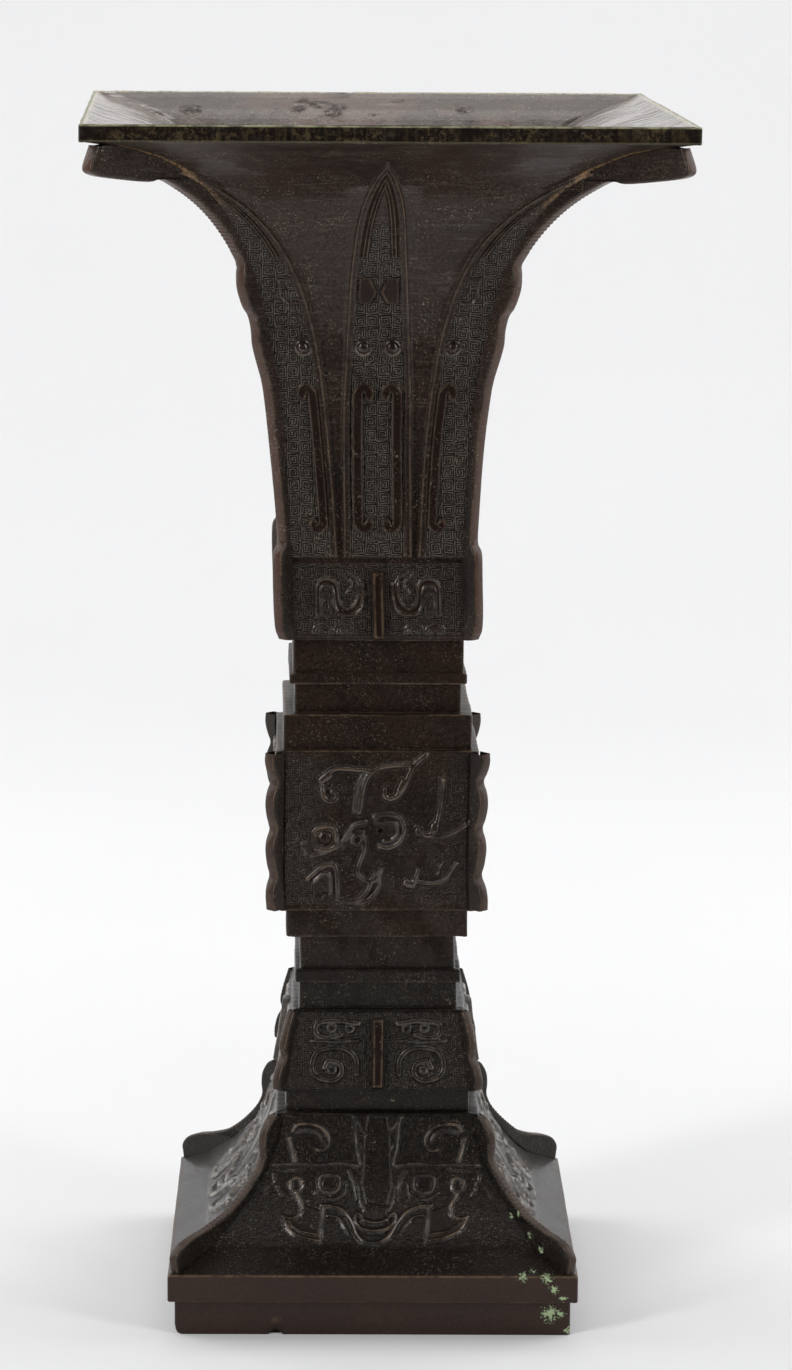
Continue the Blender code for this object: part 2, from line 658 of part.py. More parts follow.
def turned_vessel(group):
    """The hollow vessel: its profile turned in four steps, with flat faces looking along X and Y."""
    outside = outer_profile()[::-1]
    line = [(0.0, LOWER_RING_TOP + FLOOR_THICKNESS)] + well_profile()[::-1]
    line += outside + hollow_profile() + [(0.0, LOWER_RING_TOP)]
    mesh = bpy.data.meshes.new("gu_vase")
    points = [(half * ROOT2, 0.0, z) for half, z in line]
    mesh.from_pydata(points, [(i, i + 1) for i in range(len(points) - 1)], [])
    source = add_object("profile", mesh, group)
    source.rotation_euler.z = math.radians(45)
    screw = source.modifiers.new("turn", "SCREW")
    screw.steps = 4
    screw.render_steps = 4
    screw.use_merge_vertices = True
    screw.merge_threshold = 0.00001
    return add_object("gu_vase", solid_mesh(source), group)


def corner_line(low, high, count):
    """Points of the vessel's corner between two heights, as (distance from the axis, height)."""
    heights = [low + (high - low) * i / count for i in range(count + 1)]
    return [(face_at(z)[0] * ROOT2, z) for z in heights]


def corner_point(z, reach):
    """A point of a flange's edge, a reach away from the corner at a height."""
    half, normal = face_at(z)
    tilt = Vector((normal.x * ROOT2, normal.y)).normalized()
    return (half * ROOT2 + reach * tilt.x, z + reach * tilt.y)


def lobes(low, high, crests, reach, dip):
    """The edge of a row of lobes, from its top down, through (share of the drop, share of the reach)."""
    line = []
    for share, swell in crests:
        line.append(corner_point(high + (low - high) * share, dip + (reach - dip) * swell))
    return line


def run_of_edge(low, high, low_reach, high_reach, steps):
    """A stretch of a flange's edge whose reach changes evenly from its top down."""
    line = []
    for i in range(steps + 1):
        share = i / steps
        line.append(corner_point(high + (low - high) * share, high_reach + (low_reach - high_reach) * share))
    return line


def neck_flange_edge():
    """The outer edge of the long upper flange, from the beak under the lip down to the foot of the band."""
    lip = LIP_HALF * ROOT2
    under = LIP_BASE - BEAK_DEPTH
    setback = BEAK_SETBACK * ROOT2
    throat = lip - BEAK_LENGTH * ROOT2
    edge = [
        (lip - 2.0 * setback, LIP_BASE - 0.25 * WALL),
        (lip - setback, LIP_BASE - 0.8 * BEAK_DEPTH),
        (lip - 1.3 * setback, under),
        (lip - 2.7 * setback, under - 1.3 * MM),
        (throat, under - 4.0 * MM),
        (throat - 1.25 * setback, under - 3.1 * MM),
        (throat - 2.5 * setback, under - 3.5 * MM),
    ]
    hooks_top = NECK_BASE + HOOKS_TOP
    hooks_foot = hooks_top - HOOKS_HEIGHT
    mouth_edge = NECK_BASE + MOUTH_EDGE_TOP
    edge += run_of_edge(hooks_top + 0.5 * HOOK_GAP, mouth_edge, MOUTH_EDGE_LOW_REACH, MOUTH_EDGE_REACH, 3)
    edge += lobes(hooks_foot, hooks_top, HOOK_CRESTS, HOOK_REACH, SPINE_REACH)
    spine_foot = NECK_BASE + BAND_FLANGE_RISE + 0.5 * FLANGE_THICKNESS
    edge += run_of_edge(spine_foot, hooks_foot - HOOK_GAP, SPINE_FOOT_REACH, SPINE_REACH, 3)
    corner = BAND_HALF * ROOT2
    edge += [
        (corner + 0.9 * BAND_FLANGE_REACH, NECK_BASE + BAND_FLANGE_RISE),
        (corner + BAND_FLANGE_REACH, NECK_BASE),
        (corner + BAND_FLANGE_REACH, BAND_BASE + 0.17 * BAND_HEIGHT),
        (corner + 0.4 * BAND_FLANGE_REACH, BAND_BASE + FLANGE_END_GAP),
    ]
    return edge


def knobbed_edge():
    """The outer edge of the foot's flange: a lobe, a run down the hollow curve and an upturned knob."""
    top = MASK_TOP - FLANGE_END_GAP
    edge = lobes(top - FOOT_LOBE_HEIGHT, top, FOOT_CRESTS, FOOT_LOBE_REACH, 0.0)
    run_top = top - FOOT_LOBE_HEIGHT - FOOT_LOBE_GAP
    edge += run_of_edge(MASK_BASE + 0.18 * MASK_HEIGHT, run_top, FOOT_EDGE_LOW_REACH, FOOT_EDGE_REACH, 4)
    end = PLINTH_HALF * ROOT2 - KNOB_SETBACK
    crown = PLINTH_TOP + KNOB_HEIGHT
    edge += [
        (end - KNOB_LENGTH, crown),
        (end - 0.58 * KNOB_LENGTH, crown - 0.1 * KNOB_HEIGHT),
        (end - 0.2 * KNOB_LENGTH, crown - 0.28 * KNOB_HEIGHT),
        (end, crown - 0.55 * KNOB_HEIGHT),
        (end - 0.05 * KNOB_LENGTH, PLINTH_TOP + 0.2 * KNOB_HEIGHT),
        (end - 0.1 * KNOB_LENGTH, PLINTH_TOP - FLANGE_ROOT),
    ]
    return edge


def flange_outline(edge, low, high, count):
    """A flange's outline: its outer edge, closed by a root that lies inside the wall."""
    root = offset(corner_line(low, high, count), -FLANGE_ROOT)
    return edge + root


def flanges(group):
    """All four flanges of all four corners."""
    low_band = LOWER_BAND_BASE + FLANGE_END_GAP
    high_band = LOWER_BAND_TOP - FLANGE_END_GAP
    low_box = BOX_BASE + FLANGE_END_GAP
    high_box = BOX_TOP - FLANGE_END_GAP
    low_neck = BAND_BASE + FLANGE_END_GAP
    high_neck = LIP_BASE - 0.5 * WALL
    box_edge = lobes(low_box, high_box, BOX_CRESTS, BOX_LOBE_REACH, BOX_DIP_REACH)
    band_edge = lobes(low_band, high_band, BAND_CRESTS, LOWER_LOBE_REACH, LOWER_DIP_REACH)
    drawn = [
        (flange_outline(neck_flange_edge(), low_neck, high_neck, 12), FLANGE_THICKNESS),
        (flange_outline(box_edge, low_box, high_box, 2), FLANGE_THICKNESS),
        (flange_outline(band_edge, low_band, high_band, 2), LOWER_FLANGE_THICKNESS),
        (flange_outline(knobbed_edge(), MASK_BASE, MASK_TOP - FLANGE_END_GAP, 6), LOWER_FLANGE_THICKNESS),
    ]
    meshes = []
    for outline, thickness in drawn:
        for corner in range(4):
            mesh = plate(outline, -0.5 * thickness, 0.5 * thickness, group)
            turn = Matrix.Rotation(math.radians(45 + 90 * corner), 4, "Z")
            mesh.transform(turn @ Matrix.Rotation(math.radians(90), 4, "X"))
            meshes.append(mesh)
    return joined("flanges", meshes, group)


def relief_slabs(group):
    """The blades of all four faces, without their drawing."""
    meshes = []
    for face in range(4):
        turn = math.radians(90 * face)
        meshes += [drape(drawing, turn) for drawing in blade_slab(group)]
        for corner in (-1, 1):
            meshes += [drape(drawing, turn, corner) for drawing in corner_slab(group)]
    return joined("slabs", meshes, group)


def relief_drawing(group):
    """The raised pieces on the blades and storeys of all four faces."""
    meshes = []
    for face in range(4):
        turn = math.radians(90 * face)
        plain = face > 0
        drawings = blade_drawing(group) + storey_plates(plain, group)
        for side in (-1, 1):
            drawings += band_lines(side, group, plain) + lower_band_lines(side, group, plain)
            drawings += box_side_lines(side, group) if plain else box_front_lines(side, group)
            drawings += mask_lines(side, group, plain)
            meshes += [drape(drawing, turn, side) for drawing in corner_drawing(group)]
        meshes += [drape(drawing, turn) for drawing in drawings]
    return joined("drawing", meshes, group)


def wear(group):
    """A chip in the front edge of the base and the worn foot of its left corner."""
    notch = [
        (-CHIP_OFFSET - 0.5 * CHIP_WIDTH, -MM),
        (-CHIP_OFFSET + 0.5 * CHIP_WIDTH, -MM),
        (-CHIP_OFFSET + 0.15 * CHIP_WIDTH, CHIP_HEIGHT),
        (-CHIP_OFFSET - 0.1 * CHIP_WIDTH, CHIP_HEIGHT),
    ]
    chip = plate(notch, BASE_HALF - CHIP_DEPTH, BASE_HALF + CHIP_DEPTH, group)
    chip.transform(Matrix.Rotation(math.radians(90), 4, "X"))
    corner = bpy.data.meshes.new("corner")
    shape = bmesh.new()
    bmesh.ops.create_cube(shape, size=4 * WORN_CORNER)
    shape.to_mesh(corner)
    shape.free()
    lean = Vector((-1, -1, -1)).to_track_quat("Z", "Y").to_matrix().to_4x4()
    reach = 2 * WORN_CORNER - WORN_CORNER / math.sqrt(3)
    outward = Vector((1, 1, 1)).normalized() * reach
    place = Matrix.Translation(Vector((-BASE_HALF, -BASE_HALF, 0)) - outward)
    corner.transform(place @ lean)
    return joined("wear", [chip, corner], group)


def combine(target, tool, operation):
    """Applies a Boolean and leaves its tool in the helpers' collection."""
    modifier = target.modifiers.new(operation.lower(), "BOOLEAN")
    modifier.operation = operation
    modifier.solver = "EXACT"
    modifier.object = tool
    bpy.context.view_layer.update()
    graph = bpy.context.evaluated_depsgraph_get()
    mesh = bpy.data.meshes.new_from_object(target.evaluated_get(graph))
    target.modifiers.remove(modifier)
    target.data = mesh


def sway_at(z):
    """How far the axis of the casting wanders to the right at a height."""
    for (low, before), (high, after) in zip(SWAY, SWAY[1:]):
        if low <= z <= high:
            share = (z - low) / (high - low)
            return before + (after - before) * share * share * (3 - 2 * share)
    return 0.0


def warped(mesh):
    """The casting turns slightly from its plinth up to its lip, and its axis isn't quite straight."""
    for vert in mesh.vertices:
        share = min(max((vert.co.z - PLINTH_TOP) / (LIP_TOP - PLINTH_TOP), 0.0), 1.0)
        sway = sway_at(vert.co.z)
        vert.co = Matrix.Rotation(TWIST * share, 3, "Z") @ vert.co
        vert.co.x += sway


def bronze():
    """Dark, nearly black bronze with a brown cast."""
    material = bpy.data.materials.new("dark_bronze")
    material.use_nodes = True
    shader = material.node_tree.nodes["Principled BSDF"]
    shader.inputs["Base Color"].default_value = (0.075, 0.062, 0.052, 1.0)
    shader.inputs["Metallic"].default_value = 0.85
    shader.inputs["Roughness"].default_value = 0.38
    return material


def main():
    for old in list(bpy.data.objects):
        bpy.data.objects.remove(old)
    parts = collection("gu_vase")
    helpers = collection("helpers")
    vessel = turned_vessel(parts)
    combine(vessel, flanges(helpers), "UNION")
    combine(vessel, wear(helpers), "DIFFERENCE")
    combine(vessel, relief_slabs(helpers), "UNION")
    combine(vessel, relief_drawing(helpers), "UNION")
    warped(vessel.data)
    vessel.data.materials.clear()
    vessel.data.materials.append(bronze())


main()
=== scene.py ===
# %% [markdown]
# The object is a square bronze beaker of the gu form: a flared mouth on a tall neck, a boxed
# waist between narrow neckings, and a spreading foot with a beast mask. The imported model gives
# its body. Everything below is in millimetres until a mesh is made, in the frame's own axes.

# %% The frame
import copy
import math

import bpy
import numpy as np
from mathutils import Matrix, Vector


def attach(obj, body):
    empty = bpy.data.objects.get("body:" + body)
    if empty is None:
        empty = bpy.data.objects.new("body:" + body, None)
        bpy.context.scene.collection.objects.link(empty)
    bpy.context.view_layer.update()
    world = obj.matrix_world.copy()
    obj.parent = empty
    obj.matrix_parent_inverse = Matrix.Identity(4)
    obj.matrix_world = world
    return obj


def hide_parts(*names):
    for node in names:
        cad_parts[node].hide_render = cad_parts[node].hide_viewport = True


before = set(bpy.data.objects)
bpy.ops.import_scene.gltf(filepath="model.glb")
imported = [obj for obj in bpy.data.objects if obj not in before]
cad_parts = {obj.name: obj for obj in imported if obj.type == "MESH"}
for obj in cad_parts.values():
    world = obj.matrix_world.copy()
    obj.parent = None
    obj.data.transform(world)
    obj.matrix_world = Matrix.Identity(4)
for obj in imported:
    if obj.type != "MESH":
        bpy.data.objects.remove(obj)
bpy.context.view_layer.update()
MM = 0.001
ROOT2 = math.sqrt(2.0)

# %% [markdown]
# The camera comes from a fit of the rim, plinth and base corners. It stands a metre and a half
# away, a little above the mouth, and looks down by about ten degrees.

# %% The camera
DISTANCE = 1465.1
CAMERA_HEIGHT = 484.1
CAMERA_OFFSET = 7.1
PITCH = 0.1871
YAW = 0.0153
ROLL = 0.008
LENS = 4423 / 1370 * 36.0

eye = Matrix.Rotation(-YAW, 4, "Z") @ Vector((CAMERA_OFFSET, -DISTANCE, CAMERA_HEIGHT)) * MM
camera = bpy.data.objects.new("camera", bpy.data.cameras.new("camera"))
bpy.context.scene.collection.objects.link(camera)
turned = Matrix.Rotation(-YAW, 4, "Z") @ Matrix.Rotation(math.pi / 2 - PITCH, 4, "X")
camera.matrix_world = Matrix.Translation(eye) @ turned @ Matrix.Rotation(ROLL, 4, "Z")
camera.data.lens = LENS
camera.data.sensor_width = 36.0
camera.data.sensor_fit = "AUTO"
camera.data.dof.use_dof = False
camera.data.clip_start = 0.05
camera.data.clip_end = 50.0
bpy.context.scene.camera = camera
print("camera at", [round(v, 4) for v in eye], "lens", round(LENS, 1))

# %% [markdown]
# The vessel is a square shell, so one profile serves its four faces. It could be a lathe turned
# in four steps. Here the profile is kept as a list of runs between sharp bends, because each run
# then gets its own spacing of rows and each bend a small rounding, as worn bronze has.

# %% The profile
# Half widths and heights of the main storeys
BASE_HALF, BASE_TOP = 65.5, 11.8
PLINTH_HALF, PLINTH_TOP = 67.8, 20.8
MASK_TOP = 66.8
LOWER_BAND_BASE, LOWER_BAND_TOP = 74.2, 101.4
BOX_HALF, BOX_BASE, BOX_TOP = 33.5, 136.6, 190.8
BAND_HALF, BAND_BASE, NECK_BASE = 30.6, 227.3, 254.2
LIP_HALF, LIP_BASE, TOP = 96.2, 394.4, 400.0
NECK_BEZIER = [(30.2, NECK_BASE), (34.0, 339.2), (40.9, 385.4), (94.9, LIP_BASE)]
MASK_BEZIER = [(56.6, 27.2), (41.9, 40.3), (37.5, 51.5), (34.0, MASK_TOP)]


def bezier(handles, steps):
    t = np.linspace(0.0, 1.0, steps + 1)[:, None]
    a, b, c, d = [np.array(p) for p in handles]
    return (1 - t) ** 3 * a + 3 * t * (1 - t) ** 2 * b + 3 * t * t * (1 - t) * c + t ** 3 * d


def corners(*points):
    """Straight runs from point to point, each point as (half width, height)."""
    return [np.array(pair, float) for pair in zip(points, points[1:])]


FOOT_RUNS = corners(
    (61.1, 0.0), (BASE_HALF, 0.0), (BASE_HALF, BASE_TOP), (PLINTH_HALF, BASE_TOP), (PLINTH_HALF, PLINTH_TOP),
    MASK_BEZIER[0])
FOOT_RUNS += [bezier(MASK_BEZIER, 60)] + corners(MASK_BEZIER[-1], (30.8, MASK_TOP))
WAIST_RUNS = corners(
    (30.8, MASK_TOP), (30.8, LOWER_BAND_BASE), (33.0, LOWER_BAND_BASE), (28.8, LOWER_BAND_TOP),
    (26.4, LOWER_BAND_TOP), (26.4, 110.5), (27.7, 110.5), (27.7, 114.9), (25.8, 114.9), (25.8, 126.8),
    (30.2, 126.8), (30.2, BOX_BASE), (BOX_HALF, BOX_BASE), (BOX_HALF, BOX_TOP), (31.2, BOX_TOP),
    (31.2, 202.5), (27.6, 202.5), (27.6, 212.5), (29.4, 212.5), (29.4, 215.9), (28.2, 215.9),
    (28.2, BAND_BASE))
NECK_RUNS = corners((28.2, BAND_BASE), (BAND_HALF, BAND_BASE), (BAND_HALF, NECK_BASE), NECK_BEZIER[0])
NECK_RUNS += [bezier(NECK_BEZIER, 90)]
NECK_RUNS += corners(NECK_BEZIER[-1], (LIP_HALF, LIP_BASE), (LIP_HALF, TOP), (95.0, TOP))
FILLET = 0.45
# Where the rows stand close: (from height, to height, step), and the step elsewhere
FINE_ROWS = [(26.5, 67.0, 0.42), (74.0, 101.6, 0.42), (136.4, 191.0, 0.45), (227.0, 386.5, 0.46)]
PLAIN_ROWS = 1.7


def row_step(z, coarse):
    for low, high, step in FINE_ROWS:
        if low < z < high:
            return step * coarse
    return PLAIN_ROWS * coarse


def lengths_of(line):
    steps = np.hypot(*np.diff(line, axis=0).T)
    return np.concatenate([[0.0], np.cumsum(steps)])


def along(line, stations):
    length = lengths_of(line)
    return np.stack([np.interp(stations, length, line[:, i]) for i in (0, 1)], axis=1)


def rows_of(runs, coarse):
    """The rows of a skin, each (half width, height), with every bend between two runs rounded."""
    rows = []
    for k, line in enumerate(runs):
        total = lengths_of(line)[-1]
        trim = min(FILLET, 0.3 * total)
        low = 0.0 if k == 0 else trim
        high = total if k == len(runs) - 1 else total - trim
        stations = [low]
        while stations[-1] < high:
            height = along(line, stations[-1:])[0, 1]
            stations.append(stations[-1] + row_step(height, coarse))
        stretch = (high - low) / (stations[-1] - low)
        stations = low + (np.array(stations) - low) * stretch
        if total > 4 * FILLET:
            stations = np.unique(np.concatenate([stations, [low + 0.3, high - 0.3]]))
        points = along(line, stations)
        if k:
            before, bend, after = rows[-1][-1], line[0], points[0]
            for t in (0.33, 0.67):
                rows.append([(1 - t) ** 2 * before + 2 * t * (1 - t) * bend + t * t * after])
        rows.append(points)
    return np.concatenate([np.asarray(part) for part in rows])


print("profile of", len(FOOT_RUNS + WAIST_RUNS + NECK_RUNS), "runs")

# %% [markdown]
# A cast bronze of this kind is never quite true. Its upper part turns a little against its foot,
# and its axis wanders by a millimetre, so every point goes through the same warp as the body.

# %% The warp
TWIST = math.radians(1.7)
# How far the axis stands to the right: (height, offset)
SWAY = np.array([
    (26, 0), (42, 1.3), (98, 1.4), (136, 0.6), (150, 0), (200, 0.3), (225, 0.4), (255, -0.3),
    (300, -1.0), (350, -1.1), (390, 0),
])


def sway_at(z):
    k = np.clip(np.searchsorted(SWAY[:, 0], z) - 1, 0, len(SWAY) - 2)
    low, high = SWAY[k], SWAY[k + 1]
    share = np.clip((z - low[..., 0]) / (high[..., 0] - low[..., 0]), 0.0, 1.0)
    eased = share * share * (3 - 2 * share)
    inside = (z > SWAY[0, 0]) & (z < SWAY[-1, 0])
    return np.where(inside, low[..., 1] + (high[..., 1] - low[..., 1]) * eased, 0.0)


def about_axis(points, angle):
    """The points turned about the vessel's axis."""
    x, y = points[..., 0], points[..., 1]
    c, s = np.cos(angle), np.sin(angle)
    return np.stack([c * x - s * y, s * x + c * y, points[..., 2]], axis=-1)


def warped(points):
    z = points[..., 2]
    made = about_axis(points, TWIST * np.clip((z - PLINTH_TOP) / (TOP - PLINTH_TOP), 0.0, 1.0))
    made[..., 0] += sway_at(z)
    return made


# %% [markdown]
# The carving is drawn as a field of heights over each flat face. A line, a plate or a boss is a
# distance to a drawn shape turned into a height, and the highest of them wins, as wax strips
# laid on a mould would. That keeps all the ornament in one sheet of metal.

# %% Drawing on a face
def smooth(t):
    t = np.clip(t, 0.0, 1.0)
    return t * t * (3 - 2 * t)


def curved(points, steps=6):
    """A smooth line through the points."""
    line = np.array(points, float)
    if len(line) < 3:
        return line
    padded = np.concatenate([[2 * line[0] - line[1]], line, [2 * line[-1] - line[-2]]])
    out = []
    for a, b, c, d in zip(padded, padded[1:], padded[2:], padded[3:]):
        for t in np.arange(steps) / steps:
            out.append(0.5 * (2 * b + (c - a) * t + (2 * a - 5 * b + 4 * c - d) * t * t
                              + (3 * b - a - 3 * c + d) * t ** 3))
    return np.array(out + [line[-1]])


def on_side(points, side):
    """The points as they are, or mirrored where side is -1."""
    return [(side * x, z) for x, z in points]


def arc(x, z, wide, high, start=0.0, end=2 * math.pi, count=12):
    return [(x + wide * math.cos(a), z + high * math.sin(a)) for a in np.linspace(start, end, count)]


def dome(d):
    return np.sqrt(np.clip(1 - d * d, 0.0, 1.0))


def distance_to(x, z, line):
    best = np.full(x.shape, 1e9)
    for (ax, az), (bx, bz) in zip(line, line[1:]):
        dx, dz = bx - ax, bz - az
        t = np.clip(((x - ax) * dx + (z - az) * dz) / max(dx * dx + dz * dz, 1e-9), 0.0, 1.0)
        best = np.minimum(best, np.hypot(x - ax - t * dx, z - az - t * dz))
    return best


def inside_of(x, z, line):
    odd = np.zeros(x.shape, bool)
    for (ax, az), (bx, bz) in zip(line, np.roll(line, -1, axis=0)):
        if az == bz:
            continue
        crosses = (az > z) != (bz > z)
        odd ^= crosses & (x < (bx - ax) * (z - az) / (bz - az) + ax)
    return odd


# %% [markdown]
# A face keeps five layers over its grid: the height, and how much each point shows the small
# ground pattern, is darkest, is rubbed bronze with a painted highlight, and is glossy.

# %% The face
FACE_LAYERS = ("height", "ground", "dark", "worn", "gloss")


class Face:
    """The layers of the carving at a grid of points (x, z) on one face."""

    def __init__(self, x, z):
        self.x = x
        self.z = z
        for layer in FACE_LAYERS:
            setattr(self, layer, np.zeros(x.shape))

    def counted_from(self, x):
        """The same face, with its x counted from another line."""
        other = copy.copy(self)
        other.x = x
        return other

    def around(self, line, margin):
        low, high = line.min(0) - margin, line.max(0) + margin
        return (self.x > low[0]) & (self.x < high[0]) & (self.z > low[1]) & (self.z < high[1])

    def lay(self, box, on, top, cover=True):
        """Raise the metal to top where a shape lies, which also ends the ground's pattern."""
        self.height[box] = np.where(on, np.maximum(self.height[box], top), self.height[box])
        if cover:
            self.ground[box] = np.where(on, 0.0, self.ground[box])

    def mark(self, layer, share, box=...):
        """Raise a layer to share where it is lower."""
        layer[box] = np.maximum(layer[box], share)

    def mark_flat(self, d, edge, box):
        """The dark top of a flat strip, and wear with a painted highlight along its edge."""
        self.mark(self.dark, smooth((d - edge) / 0.3), box)
        self.mark(self.worn, 0.25 * np.exp(-((d - edge) / 0.2) ** 2), box)

    def ridge(self, points, width, rise, base=0.0, soft=True):
        """A raised line with a round top. Its ends are round too."""
        line = curved(points) if soft else np.array(points, float)
        box = self.around(line, width)
        d = distance_to(self.x[box], self.z[box], line) / (0.5 * width)
        self.lay(box, d < 1, base + rise * dome(d))
        # The crest: rubbed bronze with a painted highlight
        self.mark(self.worn, 0.12 * smooth(1.8 - 3.0 * d), box)
        self.mark(self.gloss, smooth(4.0 - 3.6 * d), box)

    def band(self, points, width, rise, edge=0.35):
        """A raised line with a flat top and steep sides."""
        line = curved(points)
        box = self.around(line, width)
        d = 0.5 * width - distance_to(self.x[box], self.z[box], line)
        self.lay(box, d > 0, rise * smooth(d / edge))
        self.mark_flat(d, edge, box)

    def groove(self, points, width, depth, soft=True):
        """A cut line."""
        line = curved(points) if soft else np.array(points, float)
        box = self.around(line, width)
        d = distance_to(self.x[box], self.z[box], line) / (0.5 * width)
        self.height[box] -= depth * np.clip(1 - d * d, 0.0, 1.0)

    def plate(self, outline, rise, edge=0.35, cover=True):
        """A raised plate of a given outline."""
        line = np.array(outline, float)
        box = self.around(line, 1.0)
        x, z = self.x[box], self.z[box]
        d = distance_to(x, z, np.concatenate([line, line[:1]]))
        d = d * np.where(inside_of(x, z, line), 1.0, -1.0)
        self.lay(box, d > 0, rise * smooth(d / edge), cover)
        if cover:
            self.mark_flat(d, edge, box)

    def boss(self, x, z, radius, rise, base=0.0, shade=1.0):
        """A round knob with a painted highlight on its lower edge, the floor's reflection, fainter the
        darker the knob is.
        """
        d = np.hypot(self.x - x, self.z - z) / radius
        self.lay(..., d < 1, base + rise * dome(d))
        self.mark(self.dark, shade * smooth(4.0 - 4.0 * d))
        # Painted reflection of the floor along the knob's lower edge
        floor_reflection_edge = np.exp(-((d - 0.92) / 0.12) ** 2) * smooth(0.4 - (self.z - z) / radius)
        self.mark(self.worn, (0.5 - 0.4 * shade) * floor_reflection_edge)
        self.mark(self.gloss, smooth(4.0 - 3.6 * d))

    def pit(self, x, z, radius, depth):
        d = np.hypot(self.x - x, self.z - z) / radius
        self.height -= depth * np.clip(1 - d * d, 0.0, 1.0)
        # The hole is painted dark as well: painted shade
        self.mark(self.dark, smooth(1.6 - 1.3 * d))

    def pebbles(self, where, depth):
        """An uneven ground of small round lumps, where the fine pattern has clogged."""
        a = np.sin(2 * math.pi * self.x / 2.1 + 1.9 * np.sin(self.z * 1.9))
        b = np.sin(2 * math.pi * self.z / 1.8 + 1.7 * np.sin(self.x * 1.3))
        self.height += depth * where * a * b

    def squares(self, where, a, b, depth):
        """The thunder pattern: small squares, each with a square line inside it."""
        p, q = np.abs(a % 1.0 - 0.5), np.abs(b % 1.0 - 0.5)
        reach = np.maximum(p, q)
        lines = np.clip((reach - 0.43) / 0.05, 0, 1) + 0.7 * np.clip(1 - np.abs(reach - 0.2) / 0.08, 0, 1)
        self.height -= depth * where * np.clip(lines, 0.0, 1.0)
        self.mark(self.ground, where)


# %% [markdown]
# The tall blades of the neck carry a rim with a channel, hooked bars, bosses and a bow tie over a
# ground of small squares, and fine ribs that close towards the tip. Their outlines narrow with
# height, so the columns of the sheet follow them and the edges come out clean.

# %% The blades of the neck
BLADE_HEIGHT = 133.0
BLADE_HALF = 11.4
CORNER_HALF = 17.2
TILE = 4.2


def blade_half(z, half, taper, power):
    t = np.clip((z - NECK_BASE) / BLADE_HEIGHT, 0.0, 1.0)
    return half * (1 - taper * np.clip((t - 0.4) / 0.4, 0, 1)) * (1 - t ** power)


def middle_half(z):
    return blade_half(z, BLADE_HALF, 0.2, 12)


def corner_half(z):
    return blade_half(z, CORNER_HALF, 0.0, 8)


def blade_ground(face, x, depth_in):
    """Slab, rim and ground of one blade, with x measured from its axis or its corner."""
    h = face.z - NECK_BASE
    on = (depth_in > 0) & (h > 0.8) & (h < BLADE_HEIGHT)
    face.lay(..., on, 0.8 * smooth(depth_in / 0.3) * smooth((h - 0.8) / 0.4), cover=False)
    ribs = smooth((h - 100.5) / 1.0) * (depth_in < 5.6)
    tiles = on & (depth_in > 2.5)
    face.squares(np.where(tiles & (h < 113.0), 1.0 - ribs, 0.0), x / TILE, face.z / TILE, 0.28)
    wave = 0.5 - 0.5 * np.cos((depth_in - 2.4) * 2 * math.pi / 1.25)
    face.height -= np.where(tiles & (h > 100.5), 0.85 * ribs * wave, 0.0)
    face.mark(face.worn, np.where(tiles, 0.4 * ribs * smooth(2.0 - 5.0 * wave), 0.0))
    outer = np.clip(1 - np.abs(depth_in - 0.55) / 0.42, 0, 1)
    inner = np.clip(1 - np.abs(depth_in - 2.2) / 0.34, 0, 1)
    rim = np.where(on, 0.55 * smooth(outer * 1.6) + 0.35 * smooth(inner * 1.6), 0.0)
    channel = np.where(on & (depth_in < 2.3), 0.16 * smooth(depth_in / 0.3), 0.0)
    face.height += rim * (h > 1.2) + channel
    # The rims: wear with a painted highlight line
    face.mark(face.worn, np.where(on, 0.62 * smooth(outer * 1.3 - 0.3) + 0.1 * inner, 0.0))
    foot = on & (h < 2.2) & (depth_in > 2.2)
    face.height += np.where(foot, 0.3 * smooth((2.2 - h) / 0.5), 0.0)


BAR = [(2.7, 309.2), (2.9, 311), (4.6, 311.9), (6.2, 310.6), (6.4, 308), (6.4, 290), (6.4, 268.6),
       (6, 265.8), (4.6, 264.9), (3.2, 265.2), (2.8, 266.8)]
BOW = [(0.35, 343.6), (2.7, 339.6), (6.5, 339.6), (6.5, 348.2), (2.7, 348.2)]
HALF_BOW = [(13.2, 340), (9.2, 340), (8.6, 343), (9.4, 347.8), (13, 347.8)]
EYE_HEIGHT = 325.2


def bar_and_eye(face, bar, bar_width, eye_x):
    """A hooked bar and the ringed boss above it."""
    face.band(bar, bar_width, 1.85, 0.3)
    face.boss(eye_x, EYE_HEIGHT, 3.0, 0.35, 0.7, 0.0)
    face.boss(eye_x, EYE_HEIGHT, 2.15, 1.6, 0.9)


def neck_carving(face, half, plain):
    from_corner = half - np.abs(face.x)
    blade_ground(face, face.x, middle_half(face.z) - np.abs(face.x))
    blade_ground(face, from_corner, corner_half(face.z) - from_corner)
    for side in (-1, 1):
        bar_and_eye(face, on_side(BAR, side), 3.3, side * 4.7)
        bow = on_side(BOW, side)
        face.plate(bow, 1.5, 0.3)
        face.groove(bow + bow[:1], 0.7, 0.35, soft=False)
    corner = face.counted_from(from_corner)
    bar_and_eye(corner, [(13.0 + (x - 6.4) * 0.9, z) for x, z in BAR], 3.2, 12.2)
    corner.ridge(HALF_BOW, 0.9, 0.55, 0.85, soft=False)
    for z, reach in ((288.6, 0.5), (281.4, 0.4)):
        face.groove([(-7.6, z), (-3.0, z - 0.3), (3.0, z + reach), (7.6, z)], 0.5, 0.3)
    keel_and_scrolls(face)


# %% [markdown]
# Under the blades runs a low band with a keel in its middle, a rolled scroll and two scallops
# each side. The same kind of strokes draw the waist and the mask of the foot. Each list holds
# the points of one raised line, for the right half.

